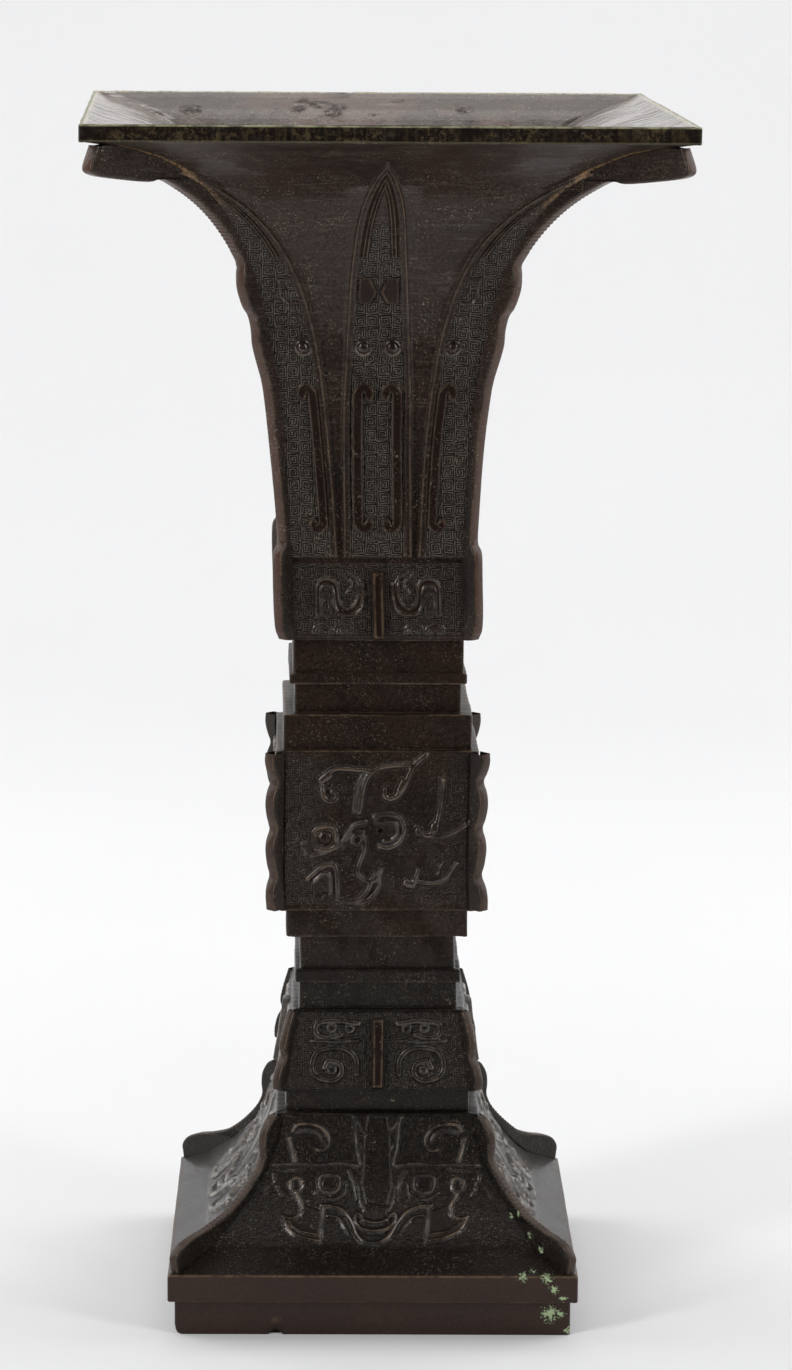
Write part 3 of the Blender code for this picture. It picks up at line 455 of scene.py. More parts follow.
# %% The upper band
BAND_OUTER = [(20.4, 236), (20.5, 241), (20.3, 245.4), (18.8, 247.8), (16, 248.4), (13.4, 246.7),
              (12.8, 243.4), (12.4, 240.2), (10.3, 238.6), (8, 239.8), (6.6, 243.4), (6.8, 247)]
BAND_INNER = [(19, 236.2), (18.9, 240), (18.8, 244.2), (17.4, 246), (15.3, 245.4), (14.6, 242.8),
              (14.2, 238.6), (12.6, 236.5), (8.5, 236.2), (5.7, 238.2), (4.7, 242), (4.9, 246.4)]
BAND_RIBBON = [(19.7, 236.2), (19.7, 243), (19.2, 246.2), (16.4, 247.2), (14.2, 245.4), (13.6, 241.4),
               (12.6, 238), (9.4, 237.3), (6.8, 239.4), (5.7, 243.4)]


def tiled(face, where, depth=0.28, pitch=TILE):
    face.squares(where, face.x / pitch + 0.5, face.z / pitch, depth)


def between(z, low, high, edge=0.5):
    return smooth((z - low) / edge) * smooth((high - z) / edge)


def keel(face, low, high):
    """The short upright bar in the middle of a band."""
    face.plate([(-2.0, low), (2.0, low), (2.0, high), (-2.0, high)], 2.7, 0.5)


def keel_and_scrolls(face):
    face.height += np.where(face.z < NECK_BASE, 0.5 * between(face.z, 228.2, 253.4, 0.4), 0.0)
    tiled(face, between(face.z, 229.0, 253.3) * (np.abs(face.x) < 27.6) * (face.z < 254))
    for side in (-1, 1):
        face.band(on_side(BAND_RIBBON, side), 2.0, 0.75)
        for line in (BAND_OUTER, BAND_INNER):
            face.ridge(on_side(line, side), 1.0, 0.8, 0.45)
        for width in (3.2, 1.5):
            face.ridge(on_side(arc(16.8, 239.6, 0.5 * width, 1.35 * width, count=13), side), 0.6, 0.45, 0.4)
        for centre in (11.6, 18.6):
            for radius in (3.2, 2.1, 1.1):
                hump = arc(centre, 230.0, radius, 1.05 * radius, 0.0, math.pi, 7)
                face.ridge(on_side(hump, side), 0.75, 0.5, 0.45)
        face.ridge(on_side([(11.4, 249.6), (8.6, 246.4), (10.6, 243.2)], side), 0.8, 0.5, 0.45)
        face.ridge(on_side([(9.8, 250.4), (6.2, 247.6), (5.6, 241.0)], side), 0.7, 0.45, 0.45)
    keel(face, 227.9, 250.9)


# %% [markdown]
# The waist has the lower band, with rolled strokes, and the box. The front's dragon is worn and
# broken, and its strokes are listed from the photograph one by one. The other three boxes carry
# a plainer pair of curls.

# %% The waist
# Strokes of the lower band for the right half: (points, width)
ROLLS = [
    ([(7, 80), (7.4, 85.2), (10.6, 88.2), (15.4, 88.8), (20.4, 87.4), (22.2, 83), (20.6, 79.2),
      (15.6, 77.8), (12.4, 79.6), (12.6, 83.2), (16.4, 84.4), (18, 82.2)], 2.4),
    ([(6.6, 96.8), (13, 97.6), (20.2, 96.8), (20.6, 93.4), (17.2, 92), (12.6, 93)], 2.4),
    ([(6.4, 91.2), (12, 90.8), (22.6, 91)], 1.3),
]
CURLS = [(9.6, 95), (15.6, 95.2), (15.4, 81.4)]


def waist_carving(face, half, plain):
    """The lower band, which goes all round, and the box above it."""
    lower = between(face.z, 75.2, 100.6) * (face.z < 101) * (face.z > 74.5) * (np.abs(face.x) < half - 2.0)
    face.height += 0.35 * between(face.z, 75.0, 100.6, 0.4) * (face.z < 101.2) * (face.z > 74.4)
    tiled(face, lower * 0.6, 0.2)
    face.pebbles(lower, 0.20)
    for side in (-1, 1):
        for line, width in ROLLS:
            face.ridge(on_side(line, side), width, 1.15, 0.2)
        for x, z in CURLS:
            face.ridge(on_side(arc(x, z, 1.4, 1.1, 0.3, 5.6, 8), side), 1.1, 0.9, 0.3)
    keel(face, 75.2, 98.8)
    face.mark(face.gloss, 0.5 * (np.abs(face.x) < 1.7) * between(face.z, 76.0, 98.4))
    box = between(face.z, 138.0, 189.6, 0.8) * (face.z > 136.8) * (face.z < 190.6)
    if plain:
        plain_box(face, box)
    else:
        dragon_box(face, box)


def plain_box(face, box):
    tiled(face, box * 0.7 * (np.abs(face.x) < 30.5), 0.22)
    for side in (-1, 1):
        for line in BOX_SIDE:
            face.ridge(on_side(line, side), 1.5, 0.9)
        face.boss(side * 13.5, 163.6, 3.6, 1.2)
        face.groove(arc(side * 13.5, 163.6, 2.2, 2.0), 0.7, 0.4)


def dragon_box(face, box):
    """The front's dragon, broken and much abraded. Its ground shows on the left and the right alone."""
    left = np.clip((-face.x - 14.0) / 9.0, 0, 1)
    faint = 0.12 + 0.5 * left + 0.25 * np.clip((face.x - 16.0) / 9.0, 0, 1)
    tiled(face, box * faint * (np.abs(face.x) < 30.6), 0.30)
    pitted = 0.9 * lumps(face.x, face.z, 31, 60, 1.1) - 0.7 * lumps(face.x, face.z, 37, 90, 0.8)
    face.height += box * left * pitted * (face.x > -31)
    for line, width, rise in BOX_FRONT:
        face.ridge(line, 1.75 * width, 1.3 * rise)
    eye_x, eye_z = -16.9, 161.2
    face.boss(eye_x, eye_z, 2.2, 0.9)
    ring = np.hypot(face.x - eye_x, (face.z - eye_z) * 0.9)
    face.mark(face.worn, 0.3 * np.exp(-((ring - 3.0) / 0.6) ** 2))
    face.pit(1.4, 163.6, 1.0, 1.3)
    face.pit(-25.4, 166.0, 0.8, 0.9)
    for x in (30.6, -30.8):
        face.groove([(x, 190.0), (x, 137.4)], 0.9, 0.5, soft=False)


def lumps(x, z, seed, count, size):
    """Scattered round lumps over the waist's left side, where the casting was rough."""
    random = np.random.default_rng(seed)
    total = np.zeros(x.shape)
    for _ in range(count):
        cx = random.uniform(-31.5, -17.0)
        cz = random.uniform(137.5, 189.5)
        radius = size * random.uniform(0.5, 1.3)
        d = np.hypot(x - cx, (z - cz) * random.uniform(0.7, 1.2)) / radius
        total = np.maximum(total, 0.5 * random.uniform(0.4, 1.0) * np.clip(1 - d * d, 0.0, 1.0))
    return total


BOX_SIDE = [
    [(5, 176.6), (8, 184.6), (17, 183.1), (20, 172.6)],
    [(4, 154.6), (7, 145.1), (16, 145.1), (22, 153.6)],
    [(23, 184), (26.5, 178), (26.5, 166), (23.5, 160)],
    [(3.2, 167), (6.4, 163.6), (3.4, 159.4)],
    [(25, 140.6), (20.6, 142.2), (24.6, 148.6)],
]
BOX_FRONT = [
    ([(-18.4, 180.6), (-16.7, 183), (-13.6, 184.9), (-10.5, 184.9), (-2.2, 184.3)], 1.3, 1),
    ([(-18.3, 181), (-16.2, 182.6)], 2, 1.1),
    ([(-18, 177.6), (-17.5, 175.2), (-15.6, 173.8), (-13.4, 174.7), (-13.4, 176.6), (-14.8, 177.2)],
      1.4, 1),
    ([(-18.2, 180.4), (-18.3, 177.6)], 1.2, 0.6),
    ([(11, 186.2), (5.1, 186), (-0.2, 184.9), (-3.2, 182.2), (-4.8, 177.6), (-5.7, 170.2)], 1.3, 0.9),
    ([(-3, 184.4), (-5, 182.4), (-6.6, 178), (-7.4, 170.6)], 0.9, 0.5),
    ([(15.9, 189.5), (12.4, 186.4), (10.4, 182.6), (9.1, 179.2), (7.1, 176.2), (4.5, 174.8), (2.7, 175.9),
      (2.7, 178.2)], 1.4, 1),
    ([(7.6, 177.6), (8.8, 180.4)], 2, 1.1),
    ([(21.9, 181), (21.3, 174.3), (20.5, 169.2), (19.4, 164.6), (17.7, 162.5), (14.6, 162.8)], 1.3, 0.9),
    ([(19.2, 164.4), (19.4, 165.4)], 2.2, 1.1),
    ([(13.9, 163), (13.8, 164.2)], 1.7, 1.1),
    ([(14.3, 162.2), (19, 161.8), (24.9, 163.1), (31, 166.4)], 0.9, 0.5),
    ([(-20.2, 158), (-20.8, 163.6), (-17.2, 165.4), (-13.6, 164.6), (-13.3, 159.2), (-15.8, 157.4),
      (-20, 157.8)], 1.3, 1),
    ([(-23.5, 156), (-24.6, 158.6), (-22.4, 160)], 1, 0.7),
    ([(-22.8, 154.8), (-19, 155.8), (-13.6, 157.4), (-9.8, 162.4), (-7.4, 165.6), (-3.7, 166.8)], 0.9, 0.6),
    ([(-10.8, 158.2), (-8.4, 163), (-4.4, 163.4)], 0.7, 0.5),
    ([(-0.7, 168.6), (3, 169.4), (7.4, 168.6), (9.3, 164.6), (7.6, 160), (4, 158), (1.2, 158.6)], 1.2, 0.8),
    ([(-0.2, 167), (2.2, 166.8), (6, 167), (7.2, 163.8), (5.4, 160.8), (2.6, 160.2)], 0.8, 0.5),
    ([(-3.6, 160.7), (-5.4, 162.4), (-7.8, 161.4), (-7.7, 159.6), (-5.6, 159), (-4.9, 160.2)], 1.1, 0.9),
    ([(-3.9, 159.8), (-4.1, 156.6), (-5.6, 152.2), (-5.8, 149.4), (-3.4, 146.9), (0, 147.2), (1.6, 150.2)],
      1.3, 0.9),
    ([(-12.4, 140.4), (-6.8, 140.2), (-2.8, 143.9), (-0.6, 149.4)], 1.2, 0.9),
    ([(-11.6, 139.2), (-4.6, 139.4), (0.4, 143.9), (1.4, 149)], 0.9, 0.6),
    ([(-22.8, 147.4), (-18.2, 151.3), (-14.4, 152.2), (-12.9, 149.4), (-12.9, 140.6)], 1.2, 0.8),
    ([(-20.6, 146.4), (-16.8, 149.6), (-14.9, 147.4), (-15, 142.4)], 0.8, 0.5),
    ([(10.4, 146.8), (10.6, 145.6), (12.1, 145.4), (14.1, 150.5)], 1.3, 0.9),
    ([(10.3, 146.2), (10.9, 145.8)], 2, 1.1),
    ([(14.1, 146.4), (19, 146), (23.4, 147.6), (26.6, 152.6)], 0.9, 0.7),
    ([(21.2, 152), (20.6, 149.4)], 1, 0.8),
]

# %% [markdown]
# The foot carries a beast mask: horns, brows, eyes and a snout that splits into two curls. Its
# ground is clogged, so it shows as pebbles with a trace of the squares.

# %% The mask
# Strokes for the right half: (points, width, height)
MASK_LINES = [
    ([(28.5, 61), (27, 62.9), (23.6, 63.4), (19, 62.3), (16.4, 59.2), (16.3, 56.4), (18, 54.9), (20.2, 55)],
      1.5, 1.1),
    ([(27.4, 60.6), (23.2, 61.2), (19.6, 60.2), (18.2, 57.8)], 0.8, 0.5),
    ([(29.6, 58.6), (28.5, 54.6), (27.3, 51)], 1.3, 0.9),
    ([(34, 50.4), (27, 50.7), (20, 50.4), (12, 50.8), (6.5, 50.1)], 1.1, 0.8),
    ([(33, 48.6), (24, 48.9)], 0.7, 0.4),
    ([(8.1, 65.6), (7.2, 60.8), (6.8, 56), (5.4, 50.4)], 1.2, 0.8),
    ([(1, 58.6), (4.4, 61), (8, 64.8)], 0.8, 0.5),
    ([(5.2, 56), (2.6, 52.4)], 0.9, 0.5),
    ([(12.3, 44.8), (12.6, 46.6), (14.4, 47.2), (17.2, 47.2), (19, 46.4), (19.3, 44.4), (18.6, 42.6),
      (16, 42), (13.4, 42.4), (12.4, 43.6), (12.3, 44.8)], 1.1, 1),
    ([(10.2, 44.6), (11, 41.6), (14, 40.2), (17.6, 40.4), (20.6, 42)], 0.8, 0.6),
    ([(9.4, 48.2), (7.6, 44.6), (6.6, 40)], 0.9, 0.5),
    ([(27, 41.6), (25.2, 43.6), (25.6, 45.9), (27.6, 46.3), (29, 44.6), (28.2, 42.6), (26.6, 42.8)],
      1.1, 0.9),
    ([(26.8, 41.4), (25, 38.6), (25.2, 36), (27.4, 34.6), (30.6, 34.9)], 1.3, 1),
    ([(30.6, 35.2), (29.4, 32.6), (25.4, 30), (21, 29.1), (17.6, 29), (17.5, 33), (17.6, 37.4)], 1.2, 1),
    ([(28.6, 33.6), (25, 31.4), (19.4, 30.6)], 0.8, 0.6),
    ([(18.5, 38.2), (14, 37.9), (10, 36.2), (7.5, 33.4), (5.6, 30.4), (2.8, 28.5), (-0.1, 28)], 1.3, 1),
    ([(16, 35.6), (12.6, 35), (10, 32.6), (8.6, 30.4)], 0.8, 0.5),
    ([(4.8, 35.2), (6.2, 35.9), (6.8, 34.6), (5.8, 32.8), (3.4, 31.5), (-0.1, 31.1)], 1.3, 1.2),
    ([(3.8, 34.2), (2, 33.6), (-0.1, 33.4)], 1.5, 0.9),
    ([(34.6, 47.4), (33.4, 44), (31.6, 41)], 0.8, 0.5),
    ([(32.4, 46), (36, 43.6), (38.4, 40)], 0.7, 0.4),
]


CHEEK = [(17.9, 37), (17.9, 29.4), (24.6, 30.2), (29.6, 33), (30, 34.8), (26.6, 34.6), (25.2, 36.6),
         (25.6, 39)]
NOSE = [(3.4, 66.2), (4.6, 60), (4.8, 52), (5.4, 44), (3.6, 38)]


def foot_carving(face, half, plain):
    zone = between(face.z, 28.0, 66.2) * (face.z > 27.2) * (face.z < MASK_TOP)
    zone = zone * (np.abs(face.x) < half - 3.0)
    tiled(face, 0.2 * zone, 0.10)
    face.pebbles(zone, 0.15)
    for side in (-1, 1):
        face.plate(on_side(CHEEK, side), 0.4, 0.5)
        for line, width, rise in MASK_LINES:
            face.ridge(on_side(line, side), 1.15 * width, 1.1 * rise)
        face.boss(side * 15.8, 44.6, 2.6, 0.4, 0.05)
        face.ridge(on_side([(6.4, 44.0), (5.6, 39.6), (3.8, 36.8)], side), 0.8, 0.5)
    face.plate(on_side(NOSE, -1) + NOSE[::-1], 0.45, 0.9, cover=False)
    face.dark *= 0.35


# %% [markdown]
# Each face is a sheet of quads: rows follow the profile, columns cross the face and turn the
# corner by half its rounding, so that four sheets meet without a gap. The columns crowd into
# the blades where the fine work is.

# %% The sheets
CORNER_ROUND = 0.9
ARC = np.radians([15.0, 30.0, 45.0])


def lanes(z, half, counts, blades):
    """x of every column at each row, from the middle to where the corner's rounding starts.

    The three counts are the columns of the middle, of the gap beside it and of the corner.
    """
    end = half - CORNER_ROUND
    if blades:
        middle = np.maximum(middle_half(z), 5.0)
        corner = end - np.maximum(corner_half(z) - CORNER_ROUND, 7.0)
        corner = np.minimum(corner, end - 5.0)
    else:
        middle = 0.38 * end
        corner = 0.46 * end
    a, b, c = [np.linspace(0.0, 1.0, count + 1)[1:] for count in counts]
    right = np.concatenate([
        middle[:, None] * a, middle[:, None] + (corner - middle)[:, None] * b,
        corner[:, None] + (end - corner)[:, None] * c,
    ], axis=1)
    return np.concatenate([-right[:, ::-1], np.zeros((len(z), 1)), right], axis=1)


def row_normals(rows):
    after = np.concatenate([rows[1:], rows[-1:]])
    before = np.concatenate([rows[:1], rows[:-1]])
    d = after - before
    normal = np.stack([d[:, 1], -d[:, 0]], axis=1)
    return normal / np.maximum(np.hypot(*normal.T), 1e-9)[:, None]


def ripple(x, z, seed):
    """The slow unevenness of a hand-finished wax, a tenth or two of a millimetre high."""
    random = np.random.default_rng(seed)
    total = np.zeros(np.broadcast(x, z).shape)
    for wave in (46.0, 29.0, 17.0, 9.5, 5.2):
        angle, phase = random.uniform(0, 2 * math.pi, 2)
        k = 2 * math.pi / wave
        total += wave ** 0.6 * np.sin(k * (x * math.cos(angle) + z * math.sin(angle)) + phase)
    return 0.012 * total


# %% [markdown]
# A few places are worn or broken: a corner and an edge of the base, and the back of the lip.

# %% Wear of the form
def worn_base(points):
    """The front left corner of the base is rounded off by wear. The small chip out of its edge is cut with
    the front's sheet.
    """
    x, y, z = points[..., 0], points[..., 1], points[..., 2]
    reach = 3.0
    cx, cz = -BASE_HALF + reach, reach
    dx, dz = np.minimum(x - cx, 0.0), np.minimum(z - cz, 0.0)
    far = np.maximum(np.hypot(dx, dz), 1e-6)
    pull = (1.0 - np.minimum(reach / far, 1.0)) * smooth((-34.0 - y) / 26.0) * (z < cz)
    points[..., 0] = x - dx * pull
    points[..., 2] = z - dz * pull
    return points


def rim_dents(points):
    """The back of the mouth's edge is a little ragged: it dips by up to half a millimetre."""
    x, y, z = points[..., 0], points[..., 1], points[..., 2]
    dip = 0.5 * smooth(1 - np.abs(x + 14.0) / 8.0) * (0.6 + 0.4 * np.sin(x * 2.1))
    dip += 0.22 * smooth(1 - np.abs(x + 60.0) / 9.0)
    dip += 0.08 * (1.0 + np.sin(x * 0.37 + np.sin(x * 0.9)))
    points[..., 2] = z - dip * smooth((z - 397.0) / 2.5) * smooth((y - 80.0) / 8.0)
    return points


# %% [markdown]
# One sheet is drawn on the flat face first, then raised along the profile's normals, closed at
# both corners and turned to its side.

# %% One sheet
def sheet_points(rows, counts, carve, turn, plain, blades):
    half, z = rows[:, :1], rows[:, 1:]
    normal = row_normals(rows)
    x = lanes(rows[:, 1], rows[:, 0], counts, blades)
    grid_z = z + 0 * x
    face = Face(x, grid_z)
    carve(face, half, plain)
    upright = normal[:, :1] > 0.35
    edge = smooth((half - CORNER_ROUND - np.abs(x)) / 1.2)
    height = np.where(upright, face.height, 0.0) * edge
    wave = ripple(x, grid_z, 11 + turn) * np.clip(edge + 0.3, 0, 1) * (grid_z > 0.5)
    wave = wave * (0.35 + 0.65 * smooth((grid_z - 27.0) / 2.0))
    inward = smooth((grid_z - 370.0) / 12.0)
    height += wave * (1.0 - inward) - np.abs(wave) * inward
    if turn == 0:
        chip = np.clip(1 - np.abs(x + 32.0) / 2.3, 0, 1) * np.clip(1 - grid_z / 2.3, 0, 1)
        height -= np.where(grid_z < 3, 2.4 * np.minimum(chip * 2.2, 0.75), 0.0)
        # The chip is painted dark: painted shade in the notch
        face.mark(face.dark, np.minimum(chip * 4.0, 1.0) * (grid_z < 3))
    middle = np.stack([x, -(half + height * normal[:, :1]), grid_z + height * normal[:, 1:]], axis=-1)

    def rounding(side, angles):
        centre = half - CORNER_ROUND
        across = side * (centre + CORNER_ROUND * np.sin(angles))
        return np.stack([across, -(centre + CORNER_ROUND * np.cos(angles)), z + 0 * across], axis=-1)

    points = np.concatenate([rounding(-1, ARC[::-1]), middle, rounding(1, ARC)], axis=1)
    pad = [(0, 0), (len(ARC), len(ARC))]
    layers = {name: np.pad(np.where(upright, getattr(face, name), 0.0) * edge, pad)
              for name in FACE_LAYERS[1:]}
    from_corner = half - np.abs(points[..., 0])
    dust = np.exp(-((from_corner - 3.7) / 0.9) ** 2) * smooth((z - 370.0) / 8.0)
    layers["dust"] = dust * smooth((LIP_BASE - 0.4 - z) / 2.0)
    plan = points[..., [0, 2]]
    if turn == 0:
        points = worn_base(points)
    points = about_axis(points, turn * math.pi / 2)
    if turn == 3:
        points = worn_base(points)
    return rim_dents(warped(points)), layers, plan


# %% [markdown]
# A grid of points becomes a mesh of quads. Its values go along as attributes for the material.

# %% From grid to mesh
def grid_normals(points):
    du = np.gradient(points, axis=1)
    dv = np.gradient(points, axis=0)
    normal = np.cross(du, dv)
    return normal / np.maximum(np.linalg.norm(normal, axis=-1, keepdims=True), 1e-9)


def standing_out(points, reach):
    """How far each point stands proud of its neighbours a few cells away, in millimetres."""
    def moved(steps, axis):
        lead = np.take(points, [0] * steps, axis=axis)
        tail = np.take(points, [-1] * steps, axis=axis)
        padded = np.concatenate([lead, points, tail], axis=axis)
        ahead = np.take(padded, range(2 * steps, padded.shape[axis]), axis=axis)
        behind = np.take(padded, range(0, padded.shape[axis] - 2 * steps), axis=axis)
        return 0.5 * (ahead + behind)
    mean = 0.5 * (moved(reach, 0) + moved(reach, 1))
    return ((points - mean) * grid_normals(points)).sum(axis=-1)


def sheet_mesh(name, points, layers, plan, closed=False):
    """A mesh of quads from a grid of points, with its values kept as attributes of its points."""
    rows, columns = points.shape[:2]
    index = np.arange(rows * columns).reshape(rows, columns)
    if closed:
        index = np.concatenate([index, index[:, :1]], axis=1)
    quads = np.stack([index[:-1, :-1], index[:-1, 1:], index[1:, 1:], index[1:, :-1]], axis=-1)
    quads = quads.reshape(-1, 4)
    mesh = bpy.data.meshes.new(name)
    mesh.vertices.add(rows * columns)
    mesh.vertices.foreach_set("co", (points * MM).astype(np.float32).ravel())
    mesh.loops.add(quads.size)
    mesh.loops.foreach_set("vertex_index", quads.astype(np.int32).ravel())
    mesh.polygons.add(len(quads))
    mesh.polygons.foreach_set("loop_start", np.arange(0, quads.size, 4, dtype=np.int32))
    mesh.update(calc_edges=True)
    for layer, values in layers.items():
        made = mesh.attributes.new(layer, "FLOAT", "POINT")
        made.data.foreach_set("value", values.astype(np.float32).ravel())
    uv = mesh.uv_layers.new(name="plan")
    flat = plan.reshape(-1, 2)[quads.ravel()]
    uv.data.foreach_set("uv", flat.astype(np.float32).ravel())
    mesh.polygons.foreach_set("use_smooth", np.ones(len(quads), bool))
    return mesh


def place(mesh, material):
    piece = bpy.data.objects.new(mesh.name, mesh)
    bpy.context.scene.collection.objects.link(piece)
    piece.data.materials.append(material)
    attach(piece, "root")
    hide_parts("gu_vase")
    print(piece.name, 2 * len(mesh.polygons), "triangles")


# %% [markdown]
# The shader sums are written as ordinary arithmetic. A small class wraps a socket, and its
# operators add Math nodes.

# %% Shader sums
class Value:
    """A socket that can be added, multiplied and compared."""

    def __init__(self, tree, socket):
        self.tree = tree
        self.socket = socket

    def node(self, kind, settings=None, sockets=None, output=0):
        """A new node, its settings made first, as the value of one of its outputs."""
        made = self.tree.nodes.new(kind)
        for key, value in (settings or {}).items():
            setattr(made, key, value)
        for key, value in (sockets or {}).items():
            self.feed(made.inputs[key], value)
        return Value(self.tree, made.outputs[output])

    def feed(self, socket, value):
        if isinstance(value, Value):
            self.tree.links.new(value.socket, socket)
        else:
            socket.default_value = value

    def math(self, operation, *others):
        return self.node("ShaderNodeMath", {"operation": operation}, dict(enumerate((self,) + others)))

    def __add__(self, other):
        return self.math("ADD", other)

    def __sub__(self, other):
        return self.math("SUBTRACT", other)

    def __mul__(self, other):
        return self.math("MULTIPLY", other)

    def __truediv__(self, other):
        return self.math("DIVIDE", other)

    def __radd__(self, other):
        return self + other

    def __rmul__(self, other):
        return self * other

    def __rsub__(self, other):
        return self * -1.0 + other

    def __rtruediv__(self, other):
        return self.math("POWER", -1.0) * other

    def __mod__(self, other):
        return self.math("FLOORED_MODULO", other)

    def clamp(self):
        return self.node("ShaderNodeClamp", None, {0: self})

    def step(self, low, high):
        """0 below low and 1 above high, with a smooth rise between."""
        return self.node("ShaderNodeMapRange", {"interpolation_type": "SMOOTHSTEP"}, {
            "Value": self, "From Min": low, "From Max": high})


class Shader(Value):
    """One material. Its colours are laid over each other in turn."""

    def __init__(self, name):
        self.material = bpy.data.materials.new(name)
        self.material.use_nodes = True
        super().__init__(self.material.node_tree, None)
        self.surface = self.tree.nodes["Principled BSDF"]
        self.place = self.node("ShaderNodeTexCoord", output="Object")
        self.base = None

    def axis(self, index):
        return self.node("ShaderNodeSeparateXYZ", None, {0: self.place}, index)

    def above(self, low, high):
        """0 below the height low and 1 above high, both in millimetres."""
        return self.axis(2).step(low * MM, high * MM)

    def layer(self, name):
        return self.node("ShaderNodeAttribute", {"attribute_name": name}, output="Fac")

    def noise(self, scale, detail=3.0, roughness=0.55, stretch=None):
        """Noise of one scale, or of a scale for each axis where stretch gives three."""
        place = self.place
        if stretch:
            place = self.node("ShaderNodeVectorMath", {"operation": "MULTIPLY"}, {0: place, 1: stretch})
        return self.node("ShaderNodeTexNoise", None, {
            "Vector": place, "Scale": scale, "Detail": detail, "Roughness": roughness})

    def mix(self, share, a, b):
        return self.node("ShaderNodeMix", {"data_type": "RGBA"}, {"Factor": share, 6: a, 7: b}, 2)

    def paint(self, colour, share):
        self.base = self.mix(share, self.base, colour)

    def bump(self, height, distance, strength):
        """Fine unevenness in the light alone, for what is too small for the mesh."""
        self.set("Normal", self.node("ShaderNodeBump", None, {
            "Height": height, "Distance": distance, "Strength": strength}))

    def set(self, name, value):
        self.feed(self.surface.inputs[name], value)


# %% [markdown]
# The metal is an old dark patina, near black with a purple-brown cast and a satin shine. Where
# it is rubbed, the bronze shows through as golden brown; the same golden brown is also a painted
# highlight along raised lines and edges.

# %% Colours
PATINA = (0.0085, 0.0052, 0.0038, 1.0)
PATINA_WARM = (0.021, 0.0103, 0.0064, 1.0)
PURPLE = (0.043, 0.0230, 0.0180, 1.0)
DARK_TONE_AND_SHADE = (0.0040, 0.0030, 0.0025, 1.0)
BAR_DARK = (0.0110, 0.0045, 0.0034, 1.0)
GREY = (0.105, 0.088, 0.073, 1.0)
SPIRAL_HIGHLIGHT = (0.135, 0.116, 0.098, 1.0)
REDDISH = (0.050, 0.0165, 0.0095, 1.0)
RUBBED_AND_GLINT = (0.21, 0.135, 0.078, 1.0)
DUST = (0.32, 0.27, 0.20, 1.0)
MOSS = (0.105, 0.076, 0.038, 1.0)
PALE_EDGE = (0.36, 0.35, 0.21, 1.0)
VERDIGRIS = (0.38, 0.48, 0.28, 1.0)
CAST_BROWN = (0.018, 0.0115, 0.0080, 1.0)
CAST_RED = (0.058, 0.022, 0.0135, 1.0)
WARM_GLOSS = (1.0, 0.89, 0.80, 1.0)
GOLD_DUST = (0.45, 0.28, 0.14, 1.0)
# Places of green corrosion on the lower right and elsewhere: (x, y, z, radius) in millimetres
GREEN_SPOTS = [(49.5, -67, 20.6, 2.2), (53, -66, 22.6, 1.6), (57.6, -67.5, 20.4, 2.4),
               (58.6, -65.5, 7.6, 3.4), (62.4, -65.5, 7.4, 1.8), (64.8, -65.5, 1.6, 1.8),
               (60, -67.8, 16.6, 2), (63, -67.8, 13.4, 1.6), (46.5, -48, 35.5, 1.3), (48.6, -50, 37, 1.2),
               (52.6, -54, 31, 1.4), (56, -58, 27, 1.5), (-93, -96.2, 397.6, 1.3), (6.6, -31, 70.6, 0.9)]


# %% [markdown]
# Two patterns come before the metal: the green crust and the square spirals.

# %% Patterns
def green(made):
    """How green each point is: a crumbly crust, broken up by noise."""
    crumb = made.noise(1150.0, 4.0, 0.75)
    total = None
    for x, y, z, radius in GREEN_SPOTS:
        far = made.node("ShaderNodeVectorMath", {"operation": "DISTANCE"}, {
            0: made.place, 1: (x * MM, y * MM, z * MM)}, "Value")
        spot = (1.0 - far / (radius * 1.5 * MM)).clamp()
        total = spot if total is None else total.math("MAXIMUM", spot)
    return (total * 0.34 + crumb).step(0.69, 0.76) * total.step(0.05, 0.2)


def thunder(made):
    """Square spirals at the pitch of the small tiles, as a wave from -1 to 1."""
    plan = made.node("ShaderNodeUVMap", {"uv_map": "plan"})
    x, z = [made.node("ShaderNodeSeparateXYZ", None, {0: plan}, axis) for axis in (0, 1)]
    drift = made.noise(95.0, 2.0) - 0.5
    a = (x + drift * 1.6) * (1.0 / TILE)
    b = (z + drift * -1.3) * (1.0 / TILE)
    hand = ((a.math("FLOOR") + b.math("FLOOR")) % 2.0) * 2.0 - 1.0
    a = a.math("FRACT") - 0.5
    b = b.math("FRACT") - 0.5
    ring = a.math("ABSOLUTE").math("MAXIMUM", b.math("ABSOLUTE"))
    turn = b.math("ARCTAN2", a) * hand * (0.5 / math.pi)
    return ((ring * 5.4 + turn) * (2 * math.pi)).math("COSINE")
